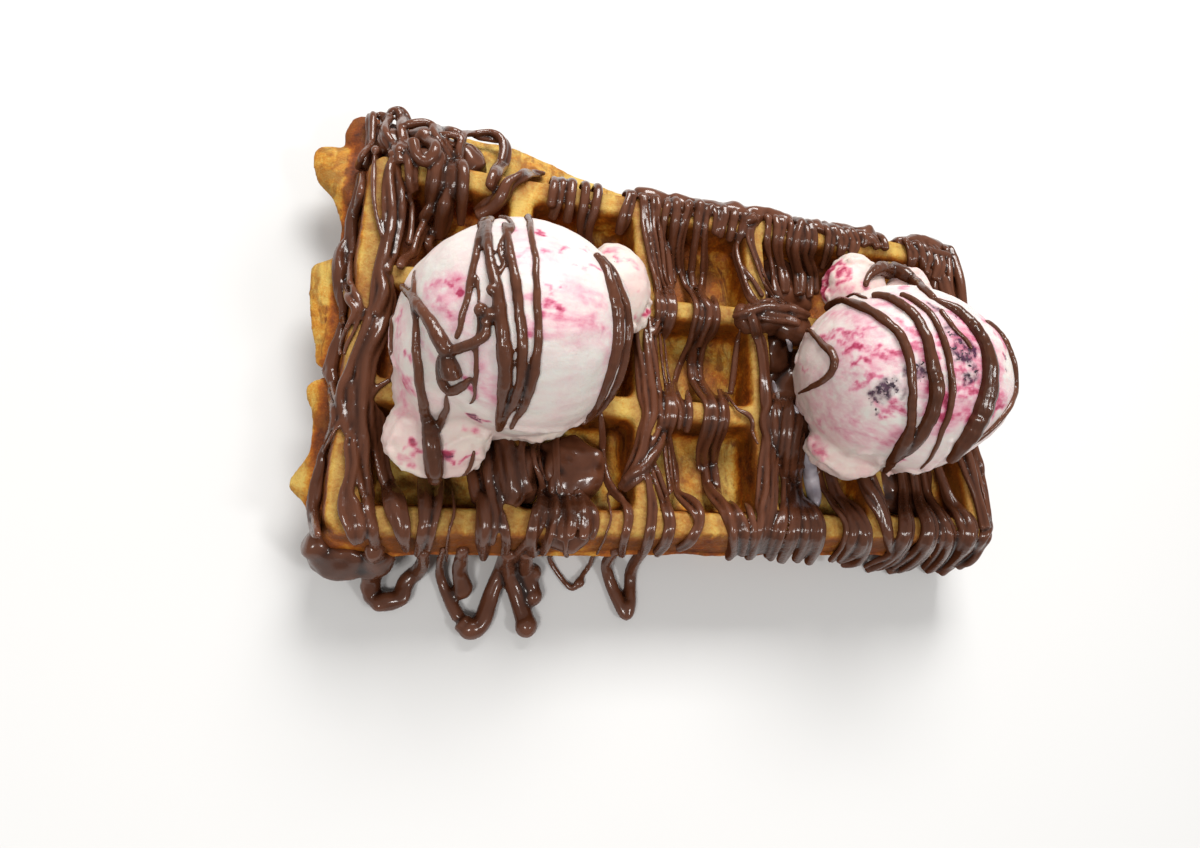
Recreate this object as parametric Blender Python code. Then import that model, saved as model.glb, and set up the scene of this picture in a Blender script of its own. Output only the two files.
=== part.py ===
# Waffle of five by three pockets, with two scoops of ice cream and poured chocolate.
# Sizes are in millimetres with +X along the waffle and +Z up. The meshes end up in metres.
import bpy
import bmesh
import math
from mathutils import Matrix, Vector, noise

# waffle
COLUMNS = 5
ROWS = 3
PITCH_X = 34.6
PITCH_Y = 30.0
THICKNESS = 30.0
POCKET_DEPTH = 12.5
POCKET_DRAFT = 1.8
RIDGE_HALF = 2.8
RIDGE_BEVEL = 1.2
RIM_HALF = 3.6
RIM_DRAFT = 2.6
RIM_CORNER = 5.0
UNEVEN = 0.35
SEAM = THICKNESS / 2
HALF_X = COLUMNS * PITCH_X / 2
HALF_Y = ROWS * PITCH_Y / 2
MIDDLE_X = -5.0  # middle of the whole outline, from the middle of the waffle
MIDDLE_Y = 0.0

# batter squeezed out along the seam: an even edge on the near and right sides, and lobes
# on the far and left sides, given as points from the right round to the near left corner
FLASH_HALF_THICK = 1.4
FLASH_EDGE = 1.3
FLASH_ROOT = 0.8
FLASH_NEAR = 1.3
FLASH_RIGHT = 2.6
FLASH_STEP = 14.0
FLASH_WOBBLE = 0.6
FLASH_LOBES = (
    (60.0, 53.8), (35.0, 54.4), (10.0, 54.0), (-10.0, 55.5), (-25.5, 59.0), (-40.0, 62.8),
    (-54.0, 67.2), (-66.0, 67.8), (-80.0, 67.4), (-90.0, 68.4), (-95.5, 68.2), (-98.5, 62.5),
    (-98.6, 57.5), (-104.0, 56.2), (-105.8, 53.0), (-103.6, 46.8), (-99.0, 42.0), (-96.3, 33.0),
    (-97.0, 24.5), (-101.3, 21.5), (-102.1, 16.5), (-100.4, 8.0), (-98.8, 0.0), (-97.6, -4.8),
    (-94.2, -7.8), (-98.8, -11.6), (-96.8, -19.0), (-96.4, -27.5), (-99.9, -36.0), (-95.8, -41.0),
    (-93.6, -47.0),
)

# ice cream, as centre, half axes and turn about Z in degrees
CLEARANCE = 0.3
LEFT_SCOOP = (
    ((-52.4, -3.5, 47.3), (25.0, 24.8, 26.2), 0),
    ((-65.0, -5.0, 43.0), (14.5, 21.5, 20.0), 0),
    ((-68.5, -27.5, 37.5), (12.0, 9.5, 6.8), 0),
    ((-27.5, 14.5, 37.2), (12.0, 14.0, 8.6), 25),
)
RIGHT_SCOOP = (
    ((50.6, -7.2, 49.3), (29.6, 25.0, 26.0), 0),
    ((46.5, 23.0, 38.0), (11.5, 13.5, 7.5), 0),
    ((65.5, 21.5, 38.0), (9.5, 15.0, 6.5), 0),
    ((38.5, -24.5, 38.0), (12.5, 9.0, 6.5), 0),
)
SCOOP_UNEVEN = 0.7
FACET_BASE = 6
FACETS = 0.5
TOP_GAP = 2.6

# chocolate over a scoop: points as distance along X and angle from the near side over the top
LEFT_TOP_STRANDS = (
    (1.2, (-22.0, 125), (-21.5, 60), (-17.0, -6)),
    (1.6, (-24.0, 128), (-20.0, 75), (-11.5, 42)),
    (1.2, (-10.0, 145), (-12.0, 92), (-14.5, 60)),
    (1.7, (-8.5, 145), (-5.5, 75), (-4.0, 6)),
    (1.6, (-5.0, 134), (-1.8, 70), (-1.5, 8)),
    (1.2, (1.0, 146), (3.0, 75), (2.5, 10)),
    (2.0, (13.5, 133), (18.5, 75), (15.5, 0)),
)
RIGHT_TOP_STRANDS = (
    (1.2, (-25.0, 125), (-25.5, 85), (-28.0, 45)),
    (1.8, (-17.0, 150), (-13.0, 80), (-11.5, 4)),
    (1.8, (-11.0, 150), (-7.5, 75), (-6.0, 10)),
    (1.2, (-9.0, 134), (-3.5, 66), (2.0, 10)),
    (2.1, (-3.0, 140), (6.2, 80), (9.5, 10)),
    (1.3, (10.0, 130), (24.4, 80), (14.0, 30)),
)
TOP_STEPS = 8
TOP_LIFT = 0.35

# chocolate poured across the waffle in bundles: X on each long ridge from near to far,
# how many strands side by side, and the radius of one
BUNDLES = (
    (-86.5, -87.5, -87.2, -86.0, 3, 1.9),
    (-79.2, -80.2, -80.0, -78.8, 2, 1.8),
    (-73.0, -73.5, -73.0, -72.8, 1, 2.0),
    (-68.2, -69.0, -69.0, -69.0, 1, 2.2),
    (-55.3, -56.0, -60.0, -66.5, 2, 2.1),
    (-47.0, -47.0, None, None, 2, 2.1),
    (-33.0, -33.0, -36.5, -39.8, 2, 2.1),
    (None, None, -32.0, -33.2, 1, 2.2),
    (-23.0, -27.5, None, None, 1, 1.5),
    (-15.4, -15.9, -12.4, -17.0, 2, 1.9),
    (-8.0, -8.5, -5.0, -8.0, 2, 1.7),
    (None, None, 1.8, 1.0, 2, 1.7),
    (3.4, 2.0, None, None, 2, 1.8),
    (10.6, 7.5, None, None, 1, 1.7),
    (None, None, 15.0, 9.0, 1, 1.7),
    (17.8, 18.0, 17.6, 16.0, 2, 2.0),
    (26.5, 25.3, 25.0, 26.0, 3, 2.0),
    (41.0, 42.0, 41.0, 36.0, 2, 2.0),
    (51.0, 51.0, 50.0, 46.5, 1, 2.2),
    (61.0, 61.5, 61.0, 58.0, 3, 2.0),
    (74.0, 74.0, 73.5, 73.5, 3, 2.1),
    (86.2, 86.5, 86.2, 86.2, 3, 1.9),
)
STRAND_PITCH = 1.75
STRAND_VALLEY = 0.3
STRAND_FOOT = 0.4
STRAND_LIFT = 0.4
STRAND_SLOPE = 1.15
KNEES = (0.0, 0.33, 0.67)
END_TAPER = 0.7
HANG_NEAR = ((-50.0, 28.0), (-53.0, 21.5), (-54.0, 16.5))
HANG_DEEP = ((-50.2, 28.0), (-53.6, 21.0), (-56.0, 14.5))
HANG_FAR = ((50.3, 28.5), (52.8, 21.0))
HANG_LEAN = -1.1
DEEP_FROM = 30.0

# chocolate that ran off the waffle, as radius and points
LOOSE_STRANDS = (
    (2.1, ((-79.5, -51.0, 22), (-80.5, -54.5, 8), (-80.3, -59.5, 2.1), (-77.5, -62.8, 2.1),
           (-74.3, -61.5, 2.1), (-72.4, -57.0, 2.1), (-69.6, -54.4, 5), (-69.3, -51.0, 18))),
    (1.5, ((-64.8, -50.5, 20), (-65.2, -53.5, 6), (-64.0, -58.0, 1.6), (-59.0, -67.0, 1.8))),
    (2.5, ((-59.0, -67.0, 2.2), (-56.0, -69.6, 2.5), (-53.4, -67.5, 2.5), (-51.6, -60.0, 2.5),
           (-49.6, -54.0, 5), (-49.5, -51.0, 16))),
    (2.3, ((-60.3, -50.5, 20), (-60.2, -54.5, 7), (-58.9, -59.5, 2.3))),
    (2.5, ((-49.5, -51.0, 18), (-48.0, -54.5, 6), (-44.8, -62.0, 2.5), (-42.0, -69.4, 2.5))),
    (2.3, ((-45.0, -50.8, 18), (-43.5, -54.5, 6), (-40.9, -61.0, 2.3))),
    (1.8, ((-22.0, -50.5, 18), (-21.0, -54.5, 2.5), (-15.9, -66.0, 1.8), (-14.0, -65.0, 1.8),
           (-13.9, -55.0, 2.5), (-14.3, -50.5, 18))),
    (2.2, ((-46.5, 43.5, 31.0), (-49.5, 50.5, 28.5), (-57.0, 50.5, 29.0), (-60.5, 43.0, 31.2),
           (-64.0, 34.0, 26.0), (-68.5, 31.0, 22.0))),
    (2.4, ((-89.5, 46.0, 29.0), (-90.0, 57.0, 19.0), (-88.5, 67.5, 17.5), (-84.0, 69.5, 17.5),
           (-80.0, 62.0, 18.0), (-77.0, 50.0, 27.0))),
    (2.2, ((-72.0, 47.0, 30.0), (-71.0, 56.0, 19.0), (-64.0, 66.0, 17.5), (-57.5, 67.0, 17.5),
           (-56.5, 59.0, 18.0), (-60.0, 51.0, 24.0))),
    (2.2, ((-79.0, 47.0, 30.0), (-78.0, 57.0, 18.5), (-73.0, 65.0, 17.5), (-68.0, 61.0, 18.0))),
)

# thick chocolate, as centre and half axes
POOLS = (
    ((-87.0, -52.0, 9.0), (9.0, 5.6, 8.4)),
    ((-37.5, -48.6, 26.5), (5.8, 4.6, 8.0)),
    ((-36.0, -31.0, 23.0), (8.5, 8.5, 7.0)),
    ((-50.0, -33.0, 24.5), (7.0, 8.0, 7.5)),
    ((-76.0, 51.0, 24.0), (10.0, 6.0, 6.5)),
)
POOL_UNEVEN = 0.5
FILLED_POCKETS = ((3, 1, 22.5), (3, 2, 21.0))  # column, row, level of the chocolate
FILL_FROM = 16.5  # a little under the pocket's floor

CURVE_PIECES = 2
POOL_FACETS = 10
RINGS_TO_SEGMENTS = 0.6
NOISE_SCALE = 0.09
FLAT_ANGLE = math.radians(3.0)
SHARP_ANGLE = math.radians(35.0)
WELD = 0.001


def clear_scene():
    for item in list(bpy.data.objects):
        bpy.data.objects.remove(item, do_unlink=True)


def make_material(name, colour, roughness):
    material = bpy.data.materials.new(name)
    material.use_nodes = True
    shader = material.node_tree.nodes["Principled BSDF"]
    shader.inputs["Base Color"].default_value = (*colour, 1.0)
    shader.inputs["Roughness"].default_value = roughness
    return material


def to_object(bm, name):
    mesh = bpy.data.meshes.new(name)
    bm.to_mesh(mesh)
    bm.free()
    item = bpy.data.objects.new(name, mesh)
    bpy.context.collection.objects.link(item)
    return item


def clamp(value, low=0.0, high=1.0):
    return max(low, min(high, value))


def blend(points, place):
    # smooth value at a place from 0 to len - 1 along a list of numbers
    index = min(int(place), len(points) - 2)
    t = place - index
    a = points[max(index - 1, 0)]
    b = points[index]
    c = points[index + 1]
    d = points[min(index + 2, len(points) - 1)]
    return b + 0.5 * t * (c - a + t * (2 * a - 5 * b + 4 * c - d + t * (3 * (b - c) + d - a)))


def smooth_path(points, pieces):
    count = (len(points) - 1) * pieces
    columns = list(zip(*points))
    places = [step / pieces for step in range(count + 1)]
    return [Vector([blend(column, place) for column in columns]) for place in places]


def waffle_half(bm, grow):
    # upper half of the waffle over the seam plane, made from a grid of cells
    bmesh.ops.create_grid(bm, x_segments=COLUMNS, y_segments=ROWS, size=1.0)
    for vert in bm.verts:
        vert.co = Vector((vert.co.x * HALF_X, vert.co.y * HALF_Y, SEAM + grow))
    cells = list(bm.faces)
    bmesh.ops.inset_individual(bm, faces=cells, thickness=RIDGE_HALF + grow, use_even_offset=True)
    bmesh.ops.inset_individual(bm, faces=cells, thickness=POCKET_DRAFT, depth=-POCKET_DEPTH,
                               use_even_offset=True)


def close_rim(bm, grow):
    # the rim's shoulder and its outer wall down to the seam
    reach = RIM_HALF + grow
    rings = (
        (reach - RIDGE_BEVEL, SEAM + grow),
        (reach, SEAM + grow - RIDGE_BEVEL),
        (reach + RIM_DRAFT, 0.0),
    )
    last = 0.0
    edges = [edge for edge in bm.edges if edge.is_boundary]
    for out, height in rings:
        grown = bmesh.ops.extrude_edge_only(bm, edges=edges)["geom"]
        edges = [item for item in grown if isinstance(item, bmesh.types.BMEdge)]
        scale_x = (HALF_X + out) / (HALF_X + last)
        scale_y = (HALF_Y + out) / (HALF_Y + last)
        for vert in {vert for edge in edges for vert in edge.verts}:
            vert.co = Vector((vert.co.x * scale_x, vert.co.y * scale_y, height))
        last = out


def round_ridges(bm, grow):
    top = SEAM + grow
    openings = []
    for edge in bm.edges:
        flat = all(abs(vert.co.z - top) < 0.01 for vert in edge.verts)
        walls = [face for face in edge.link_faces if abs(face.normal.z) < 0.9]
        inside = abs(edge.verts[0].co.x) < HALF_X and abs(edge.verts[0].co.y) < HALF_Y
        if flat and inside and len(walls) == 1:
            openings.append(edge)
    bmesh.ops.bevel(bm, geom=openings, offset=RIDGE_BEVEL, offset_type="OFFSET", segments=1,
                    profile=0.5, affect="EDGES", material=-1)


def round_corners(bm):
    corners = []
    for edge in bm.edges:
        outer = all(abs(v.co.x) > HALF_X + 1 and abs(v.co.y) > HALF_Y + 1 for v in edge.verts)
        if outer and not edge.is_boundary:
            corners.append(edge)
    bmesh.ops.bevel(bm, geom=corners, offset=RIM_CORNER, offset_type="OFFSET", segments=2,
                    profile=0.5, affect="EDGES", material=-1)


def waffle_core(name, grow=0.0):
    # the bare waffle; grow makes it thicker all over, to cut the ice cream that sits on it
    bm = bmesh.new()
    waffle_half(bm, grow)
    round_ridges(bm, grow)
    close_rim(bm, grow)
    round_corners(bm)
    geometry = bm.verts[:] + bm.edges[:] + bm.faces[:]
    bmesh.ops.mirror(bm, geom=geometry, matrix=Matrix.Identity(4), merge_dist=0.001, axis="Z")
    bmesh.ops.remove_doubles(bm, verts=bm.verts[:], dist=0.001)
    bmesh.ops.recalc_face_normals(bm, faces=bm.faces[:])
    bmesh.ops.triangulate(bm, faces=bm.faces[:])
    for vert in bm.verts:
        vert.co.z += SEAM
        if vert.co.z > 2 * RIDGE_BEVEL:
            vert.co += noise.noise_vector(vert.co * NOISE_SCALE) * UNEVEN
    return to_object(bm, name)


def flash_outline():
    near = -(HALF_Y + RIM_HALF + RIM_DRAFT + FLASH_NEAR)
    right = HALF_X + RIM_HALF + RIM_DRAFT + FLASH_RIGHT
    across = round(2 * HALF_X / FLASH_STEP)
    along = round(2 * HALF_Y / FLASH_STEP)
    points = [(-HALF_X + 2 * HALF_X * step / across, near) for step in range(across + 1)]
    points += [(right, -HALF_Y + 2 * HALF_Y * step / along) for step in range(along + 1)]
    return [Vector(point) for point in points + list(FLASH_LOBES)]


def skin(rings, closed, name):
    # a solid through rings of as many points each, with flat ends unless it closes on itself
    bm = bmesh.new()
    loops = [[bm.verts.new(point) for point in ring] for ring in rings]
    following = loops[1:] + ([loops[0]] if closed else [])
    for ring, after in zip(loops, following):
        for side in range(len(ring)):
            beside = (side + 1) % len(ring)
            bm.faces.new((ring[side], after[side], after[beside], ring[beside]))
    if not closed:
        bm.faces.new(loops[0])
        bm.faces.new(loops[-1])
    bmesh.ops.recalc_face_normals(bm, faces=bm.faces[:])
    bmesh.ops.triangulate(bm, faces=bm.faces[:])
    return to_object(bm, name)


def flash_ring():
    rings = []
    for point in flash_outline():
        root = point * FLASH_ROOT
        root = Vector((clamp(root.x, -HALF_X, HALF_X), clamp(root.y, -HALF_Y, HALF_Y)))
        out = (point - root).normalized()
        edge = point + out * noise.noise(Vector((*point, 0.0)) * NOISE_SCALE) * FLASH_WOBBLE
        shoulder = edge - out * FLASH_EDGE
        rings.append((
            (*root, SEAM + FLASH_HALF_THICK),
            (*shoulder, SEAM + FLASH_HALF_THICK),
            (*edge, SEAM),
            (*shoulder, SEAM - FLASH_HALF_THICK),
            (*root, SEAM - FLASH_HALF_THICK),
        ))
    return skin(rings, True, "flash")


def surface_height(x, y):
    # top of the bare waffle, for the chocolate that lies on it
    if abs(x) > HALF_X + RIM_HALF or abs(y) > HALF_Y + RIM_HALF:
        return SEAM
    across = (x + HALF_X) / PITCH_X
    along = (y + HALF_Y) / PITCH_Y
    to_line_x = abs(across - clamp(round(across), 0, COLUMNS)) * PITCH_X
    to_line_y = abs(along - clamp(round(along), 0, ROWS)) * PITCH_Y
    inside = clamp((min(to_line_x, to_line_y) - RIDGE_HALF) / POCKET_DRAFT)
    if abs(x) > HALF_X or abs(y) > HALF_Y:
        inside = 0.0
    return THICKNESS - POCKET_DEPTH * inside


def bundle_x(rows, y):
    known = [index for index, x in enumerate(rows) if x is not None]
    values = [rows[index] for index in known]
    place = (y + HALF_Y) / PITCH_Y - known[0]
    return blend(values, clamp(place, 0, len(values) - 1))


def draped(rows, y):
    # chocolate follows the waffle but bridges a pocket no steeper than its slope
    height = 0.0
    reach = int(PITCH_Y / 2)
    for away in range(-reach, reach + 1):
        spot = clamp(y + away, -HALF_Y, HALF_Y)
        height = max(height, surface_height(bundle_x(rows, spot), spot) - STRAND_SLOPE * abs(away))
    return height


def bundle_path(rows, radius):
    known = [index for index, x in enumerate(rows) if x is not None]
    places = [row + knee for row in range(known[0], known[-1]) for knee in KNEES] + [known[-1]]
    path = []
    for place in places:
        y = place * PITCH_Y - HALF_Y
        path.append(Vector((bundle_x(rows, y), y, draped(rows, y) + radius * STRAND_LIFT)))
    if known[0] == 0:
        deep = rows[0] > DEEP_FROM
        for order, (y, z) in enumerate(HANG_DEEP if deep else HANG_NEAR):
            lean = HANG_LEAN * order if deep else 0.0
            path.insert(0, Vector((rows[0] + lean, y, z)))
    if known[-1] == ROWS:
        path += [Vector((rows[-1], y, z)) for y, z in HANG_FAR]
    return path


def bundle_profile(count, radius):
    # strands side by side: one ridge each, with a valley between neighbours
    half = (count - 1) * radius * STRAND_PITCH / 2
    points = [(-half - radius, 0.0)]
    for strand in range(count):
        middle = strand * radius * STRAND_PITCH - half
        if strand:
            points.append((middle - radius * STRAND_PITCH / 2, radius * STRAND_VALLEY))
        points.append((middle, radius))
    foot = half + radius * STRAND_FOOT
    return points + [(half + radius, 0.0), (foot, -radius), (-foot, -radius)]


def bundle(path, count, radius):
    rings = []
    for index, point in enumerate(path):
        before = path[max(index - 1, 0)]
        after = path[min(index + 1, len(path) - 1)]
        run = after - before
        up = Vector((1, 0, 0)).cross(Vector((0, run.y, run.z))).normalized()
        size = END_TAPER if index in (0, len(path) - 1) else 1.0
        ring = []
        for aside, height in bundle_profile(count, radius * size):
            spot = point + Vector((aside, 0, 0)) + up * height
            if height > 0 and abs(point.y) <= HALF_Y:
                spot.z = max(spot.z, surface_height(spot.x, point.y) + height)
            ring.append(spot)
        rings.append(ring)
    return skin(rings, False, "bundle")


def clear_of_scoops(point, radius):
    gap = radius + TOP_GAP
    for centre, half, turn in LEFT_SCOOP + RIGHT_SCOOP:
        local = Matrix.Rotation(-math.radians(turn), 3, "Z") @ (point - Vector(centre))
        scaled = Vector([local[axis] / (half[axis] + gap) for axis in range(3)])
        if scaled.length < 1.0:
            return False
    return True


def clear_runs(path, radius):
    runs = [[]]
    for point in path:
        if clear_of_scoops(point, radius):
            runs[-1].append(point)
        elif runs[-1]:
            runs.append([])
    return [run for run in runs if len(run) > 2]


def tube(path, radius, name):
    curve = bpy.data.curves.new(name, "CURVE")
    curve.dimensions = "3D"
    curve.bevel_depth = radius
    curve.bevel_resolution = 1
    curve.use_fill_caps = True
    curve.twist_mode = "Z_UP"
    spline = curve.splines.new("POLY")
    spline.points.add(len(path) - 1)
    for point, place in zip(spline.points, path):
        point.co = (*place, 1.0)
    spline.points[0].radius = END_TAPER
    spline.points[-1].radius = END_TAPER
    guide = bpy.data.objects.new(name, curve)
    bpy.context.collection.objects.link(guide)
    depsgraph = bpy.context.evaluated_depsgraph_get()
    mesh = bpy.data.meshes.new_from_object(guide.evaluated_get(depsgraph))
    bpy.data.objects.remove(guide, do_unlink=True)
    bm = bmesh.new()
    bm.from_mesh(mesh)
    bmesh.ops.remove_doubles(bm, verts=bm.verts[:], dist=0.01)
    for vert in bm.verts:
        vert.co.z = max(vert.co.z, 0.0)
    bmesh.ops.recalc_face_normals(bm, faces=bm.faces[:])
    bmesh.ops.triangulate(bm, faces=bm.faces[:])
    return to_object(bm, name)


def ellipsoid(centre, half, turn, segments, uneven, name):
    bm = bmesh.new()
    rings = round(segments * RINGS_TO_SEGMENTS)
    bmesh.ops.create_uvsphere(bm, u_segments=segments, v_segments=rings, radius=1.0)
    spin = Matrix.Rotation(math.radians(turn), 3, "Z")
    for vert in bm.verts:
        local = Vector([vert.co[axis] * half[axis] for axis in range(3)])
        spot = spin @ local + Vector(centre)
        bump = noise.noise(spot * NOISE_SCALE) * uneven
        vert.co = spot + (spin @ local).normalized() * bump
        vert.co.z = max(vert.co.z, 0.0)
    return to_object(bm, name)


def filled_pocket(column, row, level):
    middle_x = (column + 0.5) * PITCH_X - HALF_X
    middle_y = (row + 0.5) * PITCH_Y - HALF_Y
    bm = bmesh.new()
    bmesh.ops.create_cube(bm, size=1.0)
    for vert in bm.verts:
        x = middle_x + vert.co.x * (PITCH_X - 2 * RIDGE_HALF)
        y = middle_y + vert.co.y * (PITCH_Y - 2 * RIDGE_HALF)
        vert.co = Vector((x, y, level if vert.co.z > 0 else FILL_FROM))
    bmesh.ops.triangulate(bm, faces=bm.faces[:])
    return to_object(bm, "fill")


def top_strand(scoop, radius, waypoints):
    # a strand over the largest ball of a scoop
    centre, half, _ = scoop[0]
    count = len(waypoints) - 1
    xs = [x for x, _ in waypoints]
    angles = [angle for _, angle in waypoints]
    path = []
    for step in range(TOP_STEPS + 1):
        place = count * step / TOP_STEPS
        x = blend(xs, place)
        angle = math.radians(blend(angles, place))
        size = math.sqrt(max(0.05, 1 - (x / half[0]) ** 2))
        offset = Vector((x, -half[1] * size * math.cos(angle), half[2] * size * math.sin(angle)))
        path.append(Vector(centre) + offset + offset.normalized() * radius * TOP_LIFT)
    return tube(path, radius, "top strand")


def join(base, pieces, operation="UNION"):
    group = bpy.data.collections.new("pieces")
    bpy.context.scene.collection.children.link(group)
    for piece in pieces:
        bpy.context.collection.objects.unlink(piece)
        group.objects.link(piece)
    cut = base.modifiers.new("join", "BOOLEAN")
    cut.operation = operation
    cut.solver = "EXACT"
    cut.operand_type = "COLLECTION"
    cut.collection = group
    depsgraph = bpy.context.evaluated_depsgraph_get()
    mesh = bpy.data.meshes.new_from_object(base.evaluated_get(depsgraph))
    base.modifiers.clear()
    base.data = mesh
    for piece in list(group.objects):
        bpy.data.objects.remove(piece, do_unlink=True)
    bpy.data.collections.remove(group)


def islands(bm):
    left = set(bm.faces)
    found = []
    while left:
        stack = [left.pop()]
        island = list(stack)
        while stack:
            for edge in stack.pop().edges:
                for face in edge.link_faces:
                    if face in left:
                        left.remove(face)
                        stack.append(face)
                        island.append(face)
        found.append(island)
    return sorted(found, key=len, reverse=True)


def tidy_mesh(item):
    # one body: sealed hollows are filled and loose scraps dropped
    bm = bmesh.new()
    bm.from_mesh(item.data)
    bmesh.ops.dissolve_degenerate(bm, edges=bm.edges[:], dist=WELD)
    for island in islands(bm)[1:]:
        bmesh.ops.delete(bm, geom=island, context="FACES")
    bmesh.ops.dissolve_limit(bm, angle_limit=FLAT_ANGLE, verts=bm.verts[:], edges=bm.edges[:])
    bmesh.ops.triangulate(bm, faces=bm.faces[:])
    bm.to_mesh(item.data)
    bm.free()


def build_waffle():
    waffle = waffle_core("waffle")
    pieces = [flash_ring()]
    for *rows, count, radius in BUNDLES:
        for run in clear_runs(bundle_path(rows, radius), count * radius):
            pieces.append(bundle(run, count, radius))
    for radius, points in LOOSE_STRANDS:
        pieces.append(tube(smooth_path(points, CURVE_PIECES), radius, "loose strand"))
    for centre, half in POOLS:
        pieces.append(ellipsoid(centre, half, 0, POOL_FACETS, POOL_UNEVEN, "pool"))
    for column, row, level in FILLED_POCKETS:
        pieces.append(filled_pocket(column, row, level))
    join(waffle, pieces)
    tidy_mesh(waffle)
    return waffle


def build_scoop(name, parts, strands):
    balls = []
    for centre, half, turn in parts:
        segments = FACET_BASE + round(half[0] * FACETS)
        balls.append(ellipsoid(centre, half, turn, segments, SCOOP_UNEVEN, name))
    scoop = balls[0]
    pieces = balls[1:] + [top_strand(parts, radius, points) for radius, *points in strands]
    join(scoop, pieces)
    join(scoop, [waffle_core("cutter", CLEARANCE)], "DIFFERENCE")
    tidy_mesh(scoop)
    return scoop


def settle(items):
    # the middle of the outline at the origin, everything in metres
    shift = Matrix.Translation((-MIDDLE_X, -MIDDLE_Y, 0.0))
    for item in items:
        item.data.transform(Matrix.Scale(0.001, 4) @ shift)


def main():
    clear_scene()
    crust = make_material("waffle crust and chocolate", (0.30, 0.12, 0.04), 0.45)
    cream = make_material("berry ice cream", (0.85, 0.70, 0.70), 0.45)
    waffle = build_waffle()
    left = build_scoop("scoop_left", LEFT_SCOOP, LEFT_TOP_STRANDS)
    right = build_scoop("scoop_right", RIGHT_SCOOP, RIGHT_TOP_STRANDS)
    settle([waffle, left, right])
    for item, material in ((waffle, crust), (left, cream), (right, cream)):
        item.data.materials.clear()
        item.data.materials.append(material)
        item.data.shade_smooth()
        item.data.set_sharp_from_angle(angle=SHARP_ANGLE)


main()
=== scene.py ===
import math
import random
import bpy
import bmesh
import numpy as np
from mathutils import Matrix, Vector, noise
from mathutils.bvhtree import BVHTree
from mathutils.kdtree import KDTree


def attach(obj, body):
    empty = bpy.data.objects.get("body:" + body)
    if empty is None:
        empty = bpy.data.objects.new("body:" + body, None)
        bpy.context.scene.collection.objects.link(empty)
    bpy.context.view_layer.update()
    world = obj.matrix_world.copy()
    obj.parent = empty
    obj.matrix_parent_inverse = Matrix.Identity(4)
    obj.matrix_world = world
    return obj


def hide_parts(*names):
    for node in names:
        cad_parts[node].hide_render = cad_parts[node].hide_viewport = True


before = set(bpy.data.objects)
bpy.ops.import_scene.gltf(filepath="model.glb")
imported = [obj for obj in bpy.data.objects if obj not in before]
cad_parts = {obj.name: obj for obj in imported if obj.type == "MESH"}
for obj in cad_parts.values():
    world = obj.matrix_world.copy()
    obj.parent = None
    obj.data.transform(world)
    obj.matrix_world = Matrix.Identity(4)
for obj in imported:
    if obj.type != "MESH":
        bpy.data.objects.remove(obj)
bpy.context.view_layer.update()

random.seed(7)
noise.seed_set(7)

# everything is modelled in millimetres from the middle of the waffle, and moved into the frame at the end
outlineMiddle = Vector((-5.0, 0.0, 0.0))
millimetre = 0.001


def linkNew(name, data):
    obj = bpy.data.objects.new(name, data)
    bpy.context.scene.collection.objects.link(obj)
    return obj


def newObject(bm, name):
    mesh = bpy.data.meshes.new(name)
    bm.to_mesh(mesh)
    bm.free()
    return linkNew(name, mesh)


def bake(obj):
    # the object with its modifiers made real
    graph = bpy.context.evaluated_depsgraph_get()
    mesh = bpy.data.meshes.new_from_object(obj.evaluated_get(graph))
    name = obj.name
    bpy.data.objects.remove(obj, do_unlink=True)
    return linkNew(name, mesh)


def remesh(obj, voxel, rounds, factor=0.5):
    mod = obj.modifiers.new("remesh", "REMESH")
    mod.mode = "VOXEL"
    mod.voxel_size = voxel
    soft = obj.modifiers.new("smooth", "SMOOTH")
    soft.factor = factor
    soft.iterations = rounds
    return bake(obj)


def joinAll(parts, name):
    bm = bmesh.new()
    for part in parts:
        bm.from_mesh(part.data)
        bpy.data.objects.remove(part, do_unlink=True)
    return newObject(bm, name)


def roughen(obj, layers, share=lambda spot: 0.0):
    # layers of noise: its size, its height, and what is added to the height where share is 1
    for vert in obj.data.vertices:
        added = share(vert.co)
        for size, height, more in layers:
            vert.co += noise.noise_vector(vert.co / size) * (height + more * added)


def paint(obj, name, values):
    # one number for each vertex, which a material reads
    obj.data.attributes.new(name, "FLOAT", "POINT").data.foreach_set("value", values)


def readAll(items, name, width, kind=np.float32):
    values = np.empty(len(items) * width, dtype=kind)
    items.foreach_get(name, values)
    return values.reshape(len(items), width)


crevices = {"rounds": 10, "deep": 0.26}


def markCrevices(obj):
    # how far each vertex lies below its surroundings, for painted shade in the gaps between the strands and a painted
    # highlight on their crests
    places = readAll(obj.data.vertices, "co", 3)
    normals = readAll(obj.data.vertices, "normal", 3)
    ends = readAll(obj.data.edges, "vertices", 2, np.int32)
    first, second = ends[:, 0], ends[:, 1]
    count = len(places)
    links = np.bincount(ends.ravel(), minlength=count)
    soft = places
    for _ in range(crevices["rounds"]):
        total = []
        for axis in range(3):
            total.append(np.bincount(first, soft[second, axis], count) + np.bincount(second, soft[first, axis], count))
        soft = np.stack(total, axis=1) / links[:, None]
    deep = ((soft - places) * normals).sum(axis=1)
    paint(obj, "crevice", np.clip(0.5 + 0.5 * deep / crevices["deep"], 0.0, 1.0).astype(np.float32))


def finishPiece(obj, material, node):
    if "chocolate" in obj.name:
        markCrevices(obj)
    obj.data.transform(Matrix.Scale(millimetre, 4) @ Matrix.Translation(-outlineMiddle))
    for vert in obj.data.vertices:
        vert.co.z = max(vert.co.z, 0.0)
    obj.data.materials.clear()
    obj.data.materials.append(material)
    obj.data.shade_smooth()
    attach(obj, "root")
    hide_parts(node)
    print("piece", obj.name, len(obj.data.polygons), "faces")


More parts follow.
